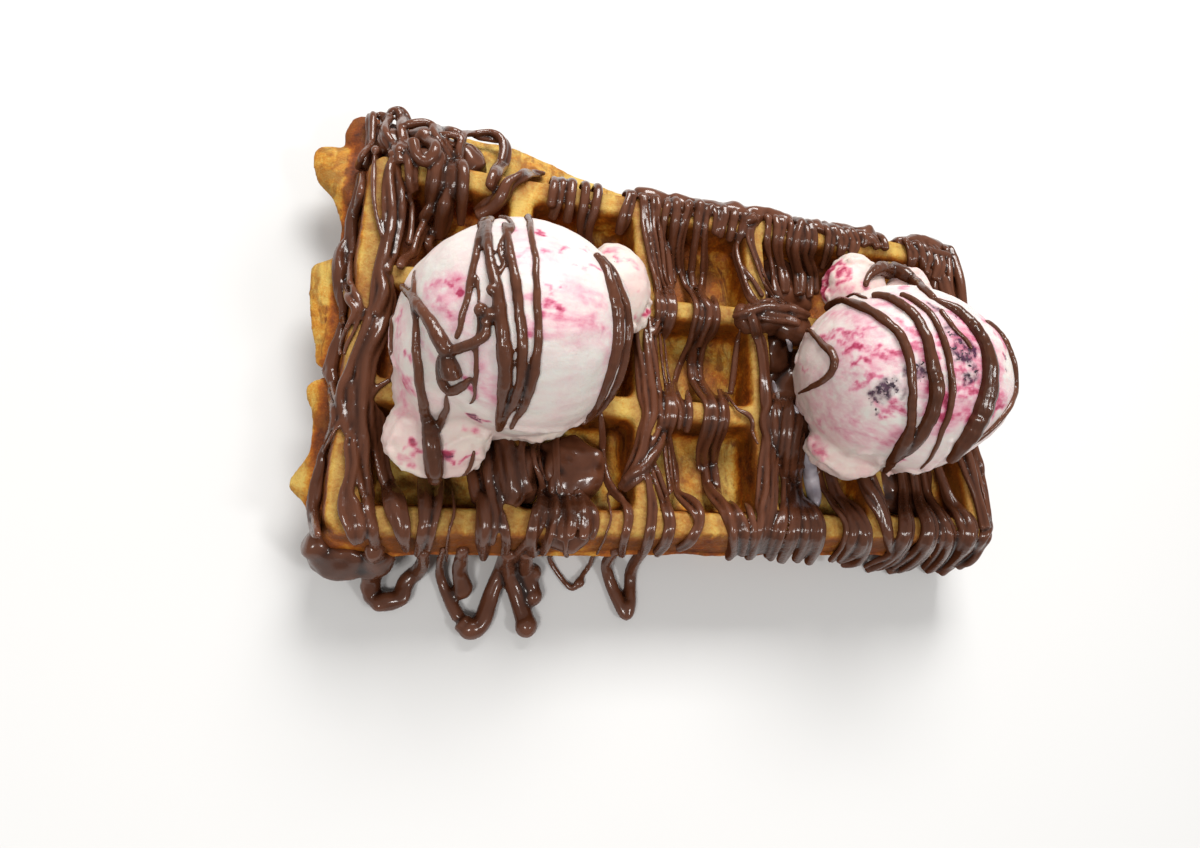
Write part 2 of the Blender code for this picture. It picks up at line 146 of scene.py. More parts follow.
def blend(values, place):
    # smooth value along a list of numbers
    index = min(int(place), len(values) - 2)
    t = place - index
    a = values[max(index - 1, 0)]
    b = values[index]
    c = values[index + 1]
    d = values[min(index + 2, len(values) - 1)]
    return b + 0.5 * t * (c - a + t * (2 * a - 5 * b + 4 * c - d + t * (3 * (b - c) + d - a)))


def blendPoints(points, steps):
    columns = list(zip(*points))
    count = (len(points) - 1) * steps
    return [tuple(blend(column, step / steps) for column in columns) for step in range(count + 1)]


def clamp(value, low=0.0, high=1.0):
    return max(low, min(high, value))


# where the camera stood and looked, worked out from the crossings of the ridges in the photograph
photoCamera = {
    "place": Vector((-68.0, -69.1, 210.1)),
    "right": Vector((0.9371, -0.0310, 0.3477)),
    "up": Vector((-0.0792, 0.9512, 0.2983)),
    "ahead": Vector((0.3400, 0.3071, -0.8889)),
    "focal": 732.02,  # in pixels of the photograph
    "centre": (708.71, 384.08),
    "size": (1200, 848),
    "sensor": 36.0,
}

# where a line of sight through the photograph lands
landing = {
    "filledPockets": {(3, 1): 22.5, (3, 2): 21.0},  # column and row of a pocket, and the height of what fills it
    "edgeIn": 0.3, "edgeSlope": 5.6, "ridgeIn": 0.6,  # where the rim and the ridges fall off, and how steeply
    "wallLow": 24.0, "above": 60.0,  # below the first height the flash may carry it; the look down starts at the second
    "flashShare": (0.96, 0.945), "flashEnd": (-93.6, -60.0), "flashTo": -24.0, "flashLift": 0.6,
    "from": 40.0, "step": 0.4, "over": 5.4,  # the walk down a line of sight, and how far it goes past the rim
    "tiltStep": 0.8, "tiltMost": 2.5,
    "near": 120.0, "nearStep": 2.0, "nearSteps": 60,  # millimetres from the camera, for a look past an edge
}


def poolTop(x, y):
    top = 0.0
    for (lumpX, lumpY, lumpZ), (sizeX, sizeY, sizeZ) in pools["lumps"]:
        inner = 1.0 - ((x - lumpX) / sizeX) ** 2 - ((y - lumpY) / sizeY) ** 2
        if inner > 0:
            top = max(top, lumpZ + sizeZ * math.sqrt(inner))
    return top


def surfaceHeight(x, y, slope):
    # height of the waffle's top; a small slope gives what a strand rests on as it bridges a pocket
    pool = poolTop(x, y)
    edgeIn = landing["edgeIn"]
    outside = max(abs(x) - halfX - waffle["rimHalf"] + edgeIn, abs(y) - halfY - waffle["rimHalf"] + edgeIn)
    if outside > 0:
        wall = max(0.0, waffle["thick"] - outside * landing["edgeSlope"], pool)
        if wall > landing["wallLow"] or (y < -halfY and x > -halfX) or x > halfX:
            return wall
        hit = flashTree.ray_cast(Vector((x, y, landing["above"])), Vector((0, 0, -1)))[0]
        if hit is None:
            return max(wall, flash["top"]) if overFlash(x, y) else wall
        return max(wall, hit.z)
    if abs(x) > halfX or abs(y) > halfY:
        return max(waffle["thick"], pool)
    across = (x + halfX) / waffle["pitchX"]
    along = (y + halfY) / waffle["pitchY"]
    toX = abs(across - round(across)) * waffle["pitchX"]
    toY = abs(along - round(along)) * waffle["pitchY"]
    low = landing["filledPockets"].get((int(across), int(along)), waffle["thick"] - waffle["pocketDepth"])
    away = max(0.0, min(toX, toY) - waffle["ridgeHalf"] + landing["ridgeIn"])
    return max(low, waffle["thick"] - slope * away, pool)


def overFlash(x, y):
    # whether chocolate lies as high as the flash beside its edge: at the far left corner, and past the left side
    if y < halfY and x > -halfX:
        return False
    x, y = x * landing["flashShare"][0], y * landing["flashShare"][1]
    lobes = flash["lobes"]
    over = False
    for (x1, y1), (x2, y2) in zip(lobes, (*lobes[1:], landing["flashEnd"])):
        if (y1 > y) != (y2 > y) and x < (x2 - x1) * (y - y1) / (y2 - y1) + x1:
            over = not over
    return over


def rayTo(u, v):
    cam = photoCamera
    way = cam["ahead"] + cam["right"] * ((u - cam["centre"][0]) / cam["focal"])
    way = way - cam["up"] * ((v - cam["centre"][1]) / cam["focal"])
    return way.normalized()


def onWaffle(u, v, slope):
    # where a pixel of the photograph lands on the waffle or the floor
    way = rayTo(u, v)
    spot = photoCamera["place"] + way * ((landing["from"] - photoCamera["place"].z) / way.z)
    while spot.z > surfaceHeight(spot.x, spot.y, slope) and spot.z > 0:
        if spot.x > halfX + landing["over"]:
            break  # it passes over the right rim, so the chocolate stands a little higher there
        if spot.y > halfY + landing["over"]:
            # it passes over the far rim; at the left the flash lies behind it
            land = spot + way * ((flash["top"] - spot.z) / way.z)
            if land.x > landing["flashTo"] or spot.z < flash["top"] + landing["flashLift"]:
                break
        spot = spot + way * landing["step"]
    return spot


def restOn(spot, slope, lift):
    # moved out of the surface along its normal
    step, most = landing["tiltStep"], landing["tiltMost"]
    before = surfaceHeight(spot.x - step, spot.y, slope), surfaceHeight(spot.x, spot.y - step, slope)
    after = surfaceHeight(spot.x + step, spot.y, slope), surfaceHeight(spot.x, spot.y + step, slope)
    tiltX, tiltY = ((first - last) / (2 * step) for first, last in zip(before, after))
    return spot + Vector((clamp(tiltX, -most, most), clamp(tiltY, -most, most), 1.0)).normalized() * lift


def pixelSize(spot):
    # millimetres that one pixel covers there
    return (spot - photoCamera["place"]).dot(photoCamera["ahead"]) / photoCamera["focal"]


def onMesh(tree, u, v, half):
    # where a pixel lands on a mesh, which way that faces, and the half width there in millimetres
    way = rayTo(u, v)
    hit, normal, _, _ = tree.ray_cast(photoCamera["place"], way)
    if hit is None:
        # just past the edge of the mesh: the place on it nearest to the line of sight
        best = math.inf
        for step in range(landing["nearSteps"]):
            probe = photoCamera["place"] + way * (landing["near"] + landing["nearStep"] * step)
            spot, facing, _, away = tree.find_nearest(probe)
            if away < best:
                hit, normal, best = spot, facing, away
    return hit, normal, half * pixelSize(hit)


pour = {"facets": 3, "tip": 0.55}


def tubes(paths, name):
    # each path is a list of (x, y, z, radius)
    curve = bpy.data.curves.new(name, "CURVE")
    curve.dimensions = "3D"
    curve.bevel_depth = 1.0
    curve.bevel_resolution = pour["facets"]
    curve.use_fill_caps = True
    for path in paths:
        spline = curve.splines.new("POLY")
        spline.points.add(len(path) - 1)
        for point, (x, y, z, radius) in zip(spline.points, path):
            point.co = (x, y, z, 1.0)
            point.radius = radius
    return bake(linkNew(name, curve))


def ball(centre, half, level=4):
    bm = bmesh.new()
    bmesh.ops.create_icosphere(bm, subdivisions=level, radius=1.0)
    bmesh.ops.scale(bm, vec=half, verts=bm.verts[:])
    bmesh.ops.translate(bm, vec=centre, verts=bm.verts[:])
    return newObject(bm, "ball")


def roundEnds(path):
    # a drop-shaped end at both ends
    head, tail = ((*end[:3], end[3] * pour["tip"]) for end in (path[0], path[-1]))
    return [head] + path[1:-1] + [tail]


def smoothHeights(path, rounds):
    for _ in range(rounds):
        inner = []
        for before, point, after in zip(path, path[1:], path[2:]):
            inner.append(tuple((before[i] + 2 * point[i] + after[i]) / 4 for i in range(3)) + (point[3],))
        path = [path[0]] + inner + [path[-1]]
    return path


# chocolate over the waffle, drawn as pixels of the photograph: column, row and half width
strands = {
    "voxel": 0.36, "smooth": 3, "smoothSheets": 5, "sheets": ("chocolate_left", "chocolate_near"),
    "slope": 1.35, "lift": 0.62, "high": 1.1,  # how steeply a strand dips into a pocket, and how high it lies
    "size": 0.98, "taper": (0.45, 0.09), "steps": 8, "smoothPath": 7, "right": 4.4,
    "cornerSize": 1.22, "cornerHigh": 2.0,  # the heap at the far left corner is thicker and stands higher
    "topRow": 200, "hiddenSize": 0.8,  # a strand that starts lower in the photograph comes from under another
    "twoFrom": 5.6, "threeFrom": 7.5, "endShare": 0.5, "uneven": (0.88, 1.12),
    "swing": (0.12, 1.3, 6.28),  # how far the ropes sway, how quickly, and where the swaying may start
    "twoRopes": (-0.36, 0.40, 1.18), "evenRope": (0.50, 0.68),  # where they lie, their sizes together, and one size
    "threeRopes": ((-0.52, 0.46), 0.05, (0.56, 0.42)), "middleRope": (0.58, 0.70),
    "rimFar": 49.2, "rimReach": 5.0, "rimLow": 27.0, "rimNear": 47.4, "fewest": 6,
    # behind the far rim: the end's height and what comes next, with the shift in x, the place in y and the width
    "hangLow": (19.0, 25.0), "hangTop": (0.0, 1.3), "hangWide": (0.9, 1.3), "hangSteps": 5,
    "hangUp": 2.5, "hangBend": 28.4, "hangOver": 31.0,
    "hang": ((0.3, 53.0, 0.8), (0.4, 52.4, 0.9), (0.2, 50.6, 1.0), (0.0, 48.4, 1.0)),
    "drawn": {
        "chocolate_corner": (
            ((371, 115, 6), (372, 127, 6), (371, 142, 5), (369, 157, 5), (366, 172, 6)),
            ((377, 119, 6), (383, 115, 5), (388, 119, 6), (386, 132, 6), (391, 144, 6), (398, 154, 6), (398, 167, 6)),
            ((388, 115, 5), (393, 112, 4), (401, 114, 5), (406, 122, 6), (403, 132, 6), (407, 144, 6), (404, 156, 6)),
            ((404, 131, 6), (413, 129, 6), (424, 127, 6), (434, 132, 6), (440, 142, 6), (447, 154, 6), (451, 162, 6)),
            ((416, 142, 5), (424, 139, 5), (431, 144, 5), (433, 154, 5), (426, 161, 5), (418, 157, 5), (415, 148, 5)),
            ((438, 135, 6), (450, 139, 6), (458, 143, 6), (456, 152, 6), (459, 162, 6)),
            ((452, 149, 5), (461, 142, 5), (475, 139, 4), (488, 139, 4), (499, 142, 5), (505, 152, 6), (503, 165, 6),
             (496, 177, 6), (489, 190, 6)),
            ((412, 152, 6), (411, 164, 6), (412, 177, 6), (414, 190, 5)),
            ((428, 135, 5), (432, 150, 5), (437, 160, 8), (436, 176, 9), (434, 190, 8), (430, 205, 6)),
            ((448, 148, 5), (451, 160, 5), (452, 176, 6), (450, 190, 6), (447, 206, 5)),
            ((459, 158, 5), (463, 175, 5), (463, 190, 5), (462, 208, 4), (461, 222, 3)),
            ((445, 203, 8), (442, 220, 8), (440, 238, 5)),
            ((427, 210, 6), (418, 225, 6), (411, 240, 5), (406, 257, 5), (399, 272, 5)),
            ((432, 229, 5), (424, 236, 4), (419, 245, 4), (424, 253, 3)),
            ((545, 174, 3), (530, 178, 5), (517, 182, 5), (508, 188, 6), (500, 196, 8), (490, 204, 9), (477, 212, 8)),
        ),
        "chocolate_left": (
            ((363, 150, 4), (364, 165, 6), (363, 182, 8), (360, 200, 9), (357, 216, 8), (354, 234, 7), (353, 252, 6),
             (352, 270, 6), (353, 286, 7)),
            ((352, 236, 2), (346, 247, 5), (342, 262, 7), (341, 280, 8), (342, 298, 8), (345, 314, 6), (348, 325, 3)),
            ((353, 284, 5), (356, 298, 7), (359, 312, 6), (354, 328, 4), (348, 344, 4), (346, 356, 4)),
            ((394, 158, 6), (391, 172, 8), (390, 190, 8), (389, 208, 7), (388, 225, 7), (386, 242, 7), (384, 258, 8),
             (381, 276, 8), (379, 296, 9), (374, 318, 9)),
            ((398, 162, 5), (400, 185, 5), (399, 205, 6), (398, 222, 6), (395, 240, 6), (392, 258, 5), (389, 275, 5)),
            ((375, 158, 3), (374, 178, 3), (374, 198, 2.6), (376, 214, 2.2), (379, 228, 2.2), (383, 240, 3)),
            ((409, 170, 4), (409, 190, 3.5), (408, 210, 3), (407, 230, 3.5), (404, 246, 4)),
            ((384, 285, 4), (378, 295, 4), (372, 312, 5), (366, 330, 5), (358, 350, 5), (351, 368, 5), (345, 386, 5),
             (343, 406, 5), (345, 424, 5), (350, 437, 4.5), (355, 428, 4), (360, 412, 4), (368, 400, 4),
             (378, 388, 3.5), (391, 381, 2.5)),
            ((343, 326, 5), (340, 340, 7), (337, 356, 8), (335, 374, 9), (337, 392, 7), (340, 408, 6), (338, 424, 5),
             (333, 440, 5), (326, 455, 5), (321, 470, 5.5), (317, 486, 7), (316, 503, 8), (318, 520, 8),
             (323, 534, 8)),
            ((384, 300, 9), (379, 325, 9), (373, 345, 9), (367, 365, 9), (365, 385, 9), (363, 405, 8), (363, 425, 8),
             (364, 445, 7), (362, 462, 7), (362, 482, 8), (365, 500, 8), (370, 516, 7), (374, 531, 6.5),
             (377, 547, 6), (377, 562, 6), (376, 575, 6)),
            ((352, 392, 4), (352, 412, 5), (352, 430, 4), (350, 446, 6), (352, 464, 7), (350, 480, 7), (347, 495, 9),
             (350, 510, 11), (355, 525, 11), (359, 537, 8)),
            ((374, 420, 7), (375, 440, 7), (377, 460, 7), (381, 478, 8), (388, 491, 9), (394, 505, 11),
             (400, 520, 10), (404, 535, 8), (406, 546, 6)),
        ),
        "chocolate_near": (
            ((425, 486, 8), (426, 505, 9), (425, 522, 8), (421, 538, 7), (418, 552, 6)),
            ((438, 488, 6), (437, 508, 6), (433, 527, 5), (428, 545, 5)),
            ((453, 500, 2), (454, 515, 2), (449, 530, 2), (447, 545, 2), (447, 560, 2)),
            ((474, 455, 8), (478, 475, 9), (482, 492, 10), (485, 508, 10), (485, 524, 9), (483, 540, 8),
             (484, 554, 7)),
            ((490, 450, 9), (493, 470, 9), (496, 490, 9), (496, 508, 8), (494, 525, 6), (492, 540, 5)),
            ((503, 436, 9), (508, 456, 10), (511, 476, 11), (514, 492, 12), (510, 506, 8)),
            ((520, 436, 4), (520, 455, 4), (521, 474, 4), (526, 490, 6)),
            ((538, 430, 5), (533, 449, 6), (535, 467, 5), (540, 481, 5), (543, 496, 6), (542, 511, 7), (538, 525, 7),
             (528, 540, 7), (518, 551, 7), (512, 560, 6)),
            ((552, 490, 5), (553, 506, 6), (553, 522, 6), (550, 537, 6), (545, 551, 6)),
            ((533, 520, 6), (530, 535, 6), (533, 550, 6)),
            ((556, 428, 4), (556, 453, 4.2), (557, 474, 4), (560, 490, 5), (563, 505, 6), (564, 524, 6),
             (561, 540, 6)),
            ((568, 498, 5), (571, 508, 6), (572, 522, 7), (569, 538, 6)),
            ((580, 500, 6), (584, 512, 8), (585, 525, 8), (580, 538, 6)),
            ((588, 505, 4), (594, 515, 5), (594, 528, 5), (588, 538, 4)), ((566, 540, 3), (565, 554, 3)),
            ((608, 507, 1.8), (610, 520, 1.8), (604, 535, 1.8), (596, 551, 1.8)),
            ((503, 522, 5), (507, 538, 6), (504, 554, 6)),
            ((602, 430, 4), (604, 455, 4.5), (608, 478, 5), (615, 491, 5), (623, 500, 5), (628, 512, 6),
             (627, 525, 6), (622, 540, 5), (621, 553, 5)),
        ),
        "chocolate_c": (
            ((563, 176, 5), (560, 190, 6), (556, 204, 6), (551, 218, 6)),
            ((573, 178, 5), (571, 192, 5), (569, 206, 5), (566, 220, 5)),
            ((556, 178, 4), (553, 190, 5), (550, 205, 5)),
            ((585, 176, 5), (585, 190, 5), (583, 205, 5), (580, 220, 4.5), (581, 236, 4), (584, 248, 4)),
            ((597, 184, 5), (597, 198, 5), (593, 212, 5), (588, 226, 5), (588, 242, 4.5), (592, 253, 4)),
            ((633, 193, 5), (629, 205, 6), (624, 218, 7), (619, 232, 7)),
            ((644, 193, 5.5), (643, 206, 5), (644, 224, 5), (647, 241, 5), (650, 260, 5), (653, 278, 5),
             (656, 294, 5), (660, 308, 6), (657, 322, 5), (651, 336, 5)),
            ((655, 195, 6), (654, 210, 5.5), (652, 226, 5), (655, 246, 5), (657, 265, 5), (660, 283, 4),
             (667, 296, 6), (671, 310, 6), (667, 324, 6), (663, 336, 4)),
            ((637, 322, 4), (637, 340, 4), (638, 360, 4), (640, 380, 5), (642, 398, 5), (645, 414, 4), (641, 430, 5),
             (638, 448, 5), (634, 466, 6), (628, 482, 7)),
            ((650, 330, 5), (651, 345, 5), (652, 362, 6), (654, 382, 6), (657, 400, 6), (661, 416, 6), (660, 432, 7),
             (654, 449, 8), (645, 464, 9), (634, 477, 9), (623, 490, 7)),
            ((646, 350, 4), (648, 372, 5), (651, 395, 5), (652, 416, 5), (646, 433, 4.5), (642, 452, 4.5),
             (640, 466, 4)),
            ((660, 345, 3), (662, 365, 3), (665, 384, 4), (669, 400, 6), (670, 413, 7), (667, 427, 6), (664, 442, 4),
             (666, 470, 4), (669, 497, 4)),
            ((655, 476, 5), (659, 492, 6), (664, 508, 6.5), (668, 524, 6.5), (665, 540, 7), (655, 551, 6)),
            ((648, 484, 4), (651, 500, 5), (651, 520, 5.5), (647, 538, 6), (642, 552, 5)),
        ),
        "chocolate_d": (
            ((667, 198, 5.5), (664, 212, 4.5), (662, 227, 3.5), (661, 243, 3.5), (663, 262, 4), (665, 280, 4),
             (668, 294, 4)),
            ((677, 201, 5.5), (675, 213, 5.5), (673, 227, 5), (671, 246, 4), (670, 265, 4), (670, 285, 4)),
            ((688, 203, 5.5), (687, 214, 5.5), (682, 230, 5), (679, 250, 4.5), (680, 270, 4.5), (685, 287, 5),
             (693, 298, 5), (698, 310, 6), (695, 325, 6), (690, 341, 5), (683, 354, 5), (677, 370, 4), (673, 386, 4),
             (676, 400, 5), (681, 412, 5.5), (678, 427, 5)),
            ((699, 205, 5), (697, 216, 5), (695, 235, 4), (692, 255, 4), (690, 275, 4), (692, 292, 4.5)),
            ((709, 207, 5), (706, 220, 4.5), (704, 240, 4), (704, 262, 4.5), (703, 281, 4.5), (701, 298, 5),
             (708, 307, 6), (710, 318, 6), (705, 331, 5), (698, 345, 5)),
            ((716, 204, 4), (717, 218, 6), (713, 233, 5)), ((724, 209, 5), (722, 222, 5), (718, 236, 4)),
            ((693, 199, 2.6), (701, 197, 2.6), (710, 198, 3), (717, 203, 3)),
            ((715, 307, 4.5), (717, 318, 4), (713, 330, 4), (704, 342, 4), (699, 360, 5), (699, 378, 5),
             (705, 393, 5), (713, 404, 6), (714, 419, 6), (709, 434, 6), (704, 448, 6), (705, 466, 6.5),
             (707, 485, 6.5), (713, 497, 6.5), (722, 506, 7), (729, 518, 8), (733, 533, 8), (733, 547, 7),
             (727, 554, 6)),
            ((692, 348, 5), (691, 366, 6), (694, 382, 6), (700, 394, 5), (707, 406, 5), (706, 420, 5), (703, 435, 5),
             (699, 450, 4), (699, 472, 4)),
            ((722, 402, 5), (724, 415, 6), (720, 430, 6), (716, 444, 5), (715, 462, 4), (718, 480, 4), (719, 497, 4)),
            ((688, 404, 4), (689, 417, 4), (685, 430, 4)),
            ((727, 400, 1.8), (735, 410, 1.8), (745, 415, 3), (751, 422, 2.5), (755, 436, 2), (759, 446, 1.4)),
            ((668, 440, 4), (671, 460, 4.5), (674, 480, 4.5), (677, 496, 4.5), (687, 505, 7), (695, 514, 7),
             (697, 525, 6), (689, 538, 6.5), (676, 546, 4.5)),
            ((734, 512, 4), (740, 522, 5), (743, 535, 5), (740, 550, 6)),
            ((749, 515, 4), (752, 527, 4), (752, 541, 4), (747, 553, 5)),
            ((739, 345, 3), (737, 362, 3.5), (735, 380, 3.5), (732, 397, 3)),
        ),
        "chocolate_e": (
            ((734, 213, 5), (731, 226, 5), (728, 240, 4)),
            ((745, 214, 5.5), (741, 230, 5.5), (737, 245, 4.5), (738, 260, 4), (744, 280, 4), (750, 298, 5),
             (756, 311, 7)),
            ((755, 217, 5.5), (749, 232, 5), (751, 249, 4), (757, 265, 4), (763, 282, 4), (770, 298, 5),
             (775, 310, 6)),
            ((768, 216, 5), (767, 228, 4), (766, 242, 4), (768, 259, 4), (771, 279, 4), (776, 295, 5), (781, 308, 6)),
            ((738, 262, 2.6), (746, 271, 2.6), (754, 284, 2.8), (762, 298, 3)),
            ((748, 220, 5), (757, 216, 5), (766, 219, 4)),
            ((749, 314, 6), (765, 310, 8), (780, 311, 8), (794, 313, 7), (806, 318, 5)),
            ((770, 318, 6), (786, 321, 6), (798, 325, 5)),
            ((752, 322, 6), (757, 339, 6), (761, 355, 6), (763, 375, 6), (764, 395, 7), (765, 415, 8), (766, 435, 8),
             (765, 455, 7), (764, 476, 6), (763, 496, 6), (761, 515, 6), (757, 535, 7), (749, 553, 7)),
            ((776, 412, 8), (777, 432, 7.5), (775, 452, 6), (773, 472, 5), (773, 492, 5), (772, 512, 5.5),
             (768, 531, 6), (760, 549, 7)),
            ((787, 420, 7), (785, 441, 6), (783, 461, 5), (782, 481, 5), (781, 501, 6), (780, 519, 7), (775, 536, 7),
             (767, 553, 7)),
            ((796, 425, 5), (793, 445, 5), (790, 465, 4.5), (789, 485, 4.5), (791, 505, 6), (793, 523, 7),
             (789, 540, 7.5), (779, 557, 7)),
            ((799, 450, 4), (797, 470, 4), (797, 490, 4.5), (801, 507, 6), (805, 523, 7.5), (803, 540, 7.5),
             (794, 557, 7)),
            ((804, 505, 4), (812, 513, 6), (817, 526, 7), (816, 541, 7), (807, 557, 7.5)),
        ),
        "chocolate_f": (
            ((780, 218, 7), (779, 231, 7), (776, 245, 6), (779, 262, 5), (783, 280, 6), (784, 295, 6)),
            ((792, 217, 7), (793, 231, 7), (790, 247, 6), (794, 263, 6), (797, 280, 7), (797, 297, 7)),
            ((802, 223, 6), (803, 238, 6), (801, 253, 5), (806, 268, 5), (808, 284, 5), (808, 300, 5)),
            ((811, 229, 5), (812, 244, 5), (809, 258, 4), (814, 272, 4), (814, 296, 4)),
            ((828, 229, 6), (829, 241, 6), (826, 255, 5), (821, 268, 4)),
            ((838, 229, 6), (841, 242, 6.5), (839, 256, 5)), ((850, 233, 6), (853, 246, 7), (850, 257, 5)),
            ((861, 236, 6), (865, 248, 7)), ((872, 240, 6), (876, 251, 7)), ((882, 242, 4), (884, 252, 4)),
            ((816, 455, 4.5), (819, 475, 4.5), (826, 495, 5), (833, 510, 5), (843, 520, 6), (847, 534, 7),
             (840, 548, 6), (829, 557, 6)),
        ),
        "chocolate_g": (
            ((828, 455, 6), (832, 475, 6), (838, 495, 7), (848, 512, 9), (856, 525, 13), (858, 538, 14),
             (850, 550, 12), (838, 558, 8)),
            ((862, 455, 8), (866, 478, 8), (874, 500, 8), (882, 520, 8), (888, 540, 6), (891, 553, 4)),
            ((897, 455, 5), (901, 480, 5), (903, 505, 6), (905, 525, 9), (902, 540, 10), (890, 554, 9), (875, 562, 7),
             (864, 566, 6)),
            ((909, 450, 5), (913, 480, 5), (917, 505, 6), (925, 522, 9), (926, 538, 10), (915, 552, 9), (897, 565, 8),
             (884, 570, 7)),
            ((920, 452, 5), (925, 480, 5), (932, 505, 6), (943, 524, 8), (946, 540, 9), (936, 556, 9), (922, 570, 8)),
            ((931, 445, 5), (941, 475, 5), (950, 500, 6), (962, 520, 10), (966, 536, 11), (955, 552, 10),
             (942, 568, 8), (940, 574, 6)),
            ((960, 447, 6), (966, 470, 6), (972, 492, 6), (978, 512, 6), (981, 530, 7)),
            ((972, 440, 6), (977, 460, 6), (983, 482, 6), (988, 505, 6), (988, 525, 7), (980, 541, 8), (969, 555, 8),
             (958, 566, 7)),
            ((908, 246, 5), (911, 257, 6), (909, 266, 4)), ((921, 250, 6), (924, 263, 7), (928, 276, 5)),
            ((935, 254, 6.5), (938, 268, 7), (934, 281, 6)),
            ((949, 259, 7), (951, 275, 8), (953, 292, 8), (955, 308, 7)),
            ((957, 264, 5), (962, 281, 5), (964, 298, 5), (965, 312, 5)), ((943, 284, 7), (947, 300, 8)),
            ((928, 252, 5), (942, 256, 5), (953, 264, 5)),
        ),
    },
}


def splitStrand(points):
    # a broad strand is two or three thinner ones side by side
    broad = max(point[2] for point in points)
    if points[0][1] > strands["topRow"]:
        u, v, half = points[0]
        points = ((2 * u - points[1][0], 2 * v - points[1][1], half * strands["hiddenSize"]), *points)
    if broad < strands["twoFrom"]:
        return [points]
    even = random.uniform(*strands["evenRope"])
    if broad < strands["threeFrom"]:
        left, right, both = strands["twoRopes"]
        ropes = ((left, even), (right, both - even))
    else:
        left, middle, right = strands["threeRopes"]
        ropes = (left, (middle, random.uniform(*strands["middleRope"])), right)
    out = []
    for share, size in ropes:
        side = []
        sway, pace, start = strands["swing"]
        swing = random.uniform(0, start)
        for index, (u, v, half) in enumerate(points):
            before = points[max(index - 1, 0)]
            after = points[min(index + 1, len(points) - 1)]
            across = Vector((before[1] - after[1], after[0] - before[0])).normalized()
            off = half * (share + sway * math.sin(swing + index * pace))
            off *= strands["endShare"] if index == len(points) - 1 else 1.0
            side.append((u + across.x * off, v + across.y * off, half * size * random.uniform(*strands["uneven"])))
        out.append(side)
    return out


def hangBehind(path):
    # a strand that reaches the far rim goes over it and a little way down behind it
    while len(path) > strands["fewest"] and path[0][1] > strands["rimFar"]:
        path.pop(0)
    x, y, z, radius = path[0]
    if y <= strands["rimFar"] - strands["rimReach"] or z <= strands["rimLow"]:
        return path
    low = random.uniform(*strands["hangLow"])
    top = random.uniform(*strands["hangTop"])
    wide = max(radius * random.uniform(*strands["hangWide"]), 1.0)
    heights = (low, low + strands["hangUp"], strands["hangBend"], strands["hangOver"] + top)
    hang = [(x + shift, far, height, wide * share) for (shift, far, share), height in zip(strands["hang"], heights)]
    return blendPoints(hang, strands["hangSteps"]) + [point for point in path if point[1] < strands["rimNear"]]


def drawnStrand(points, inCorner):
    path = []
    high = random.uniform(0.0, strands["high"] * (strands["cornerHigh"] if inCorner else 1.0))
    for index, (u, v, half) in enumerate(blendPoints(points, strands["steps"])):
        spot = onWaffle(u, v, strands["slope"])
        taper = min(1.0, strands["taper"][0] + strands["taper"][1] * index)
        radius = half * pixelSize(spot) * strands["cornerSize" if inCorner else "size"] * taper
        spot = restOn(spot, strands["slope"], radius * strands["lift"] + high * taper)
        path.append((min(spot.x, halfX + strands["right"]), spot.y, spot.z, radius))
    if not inCorner:
        path = hangBehind(path)
    return roundEnds(smoothHeights(path, strands["smoothPath"]))


def pourChocolate(material):
    everywhere = []
    for name, drawn in strands["drawn"].items():
        paths = []
        for points in drawn:
            paths += [drawnStrand(part, name == "chocolate_corner") for part in splitStrand(points)]
        everywhere += [point for path in paths for point in path[::2]]
        # the left and near strands have run together into smoother sheets
        rounds = strands["smoothSheets" if name in strands["sheets"] else "smooth"]
        finishPiece(remesh(tubes(paths, name), strands["voxel"], rounds), material, "waffle")
    return everywhere


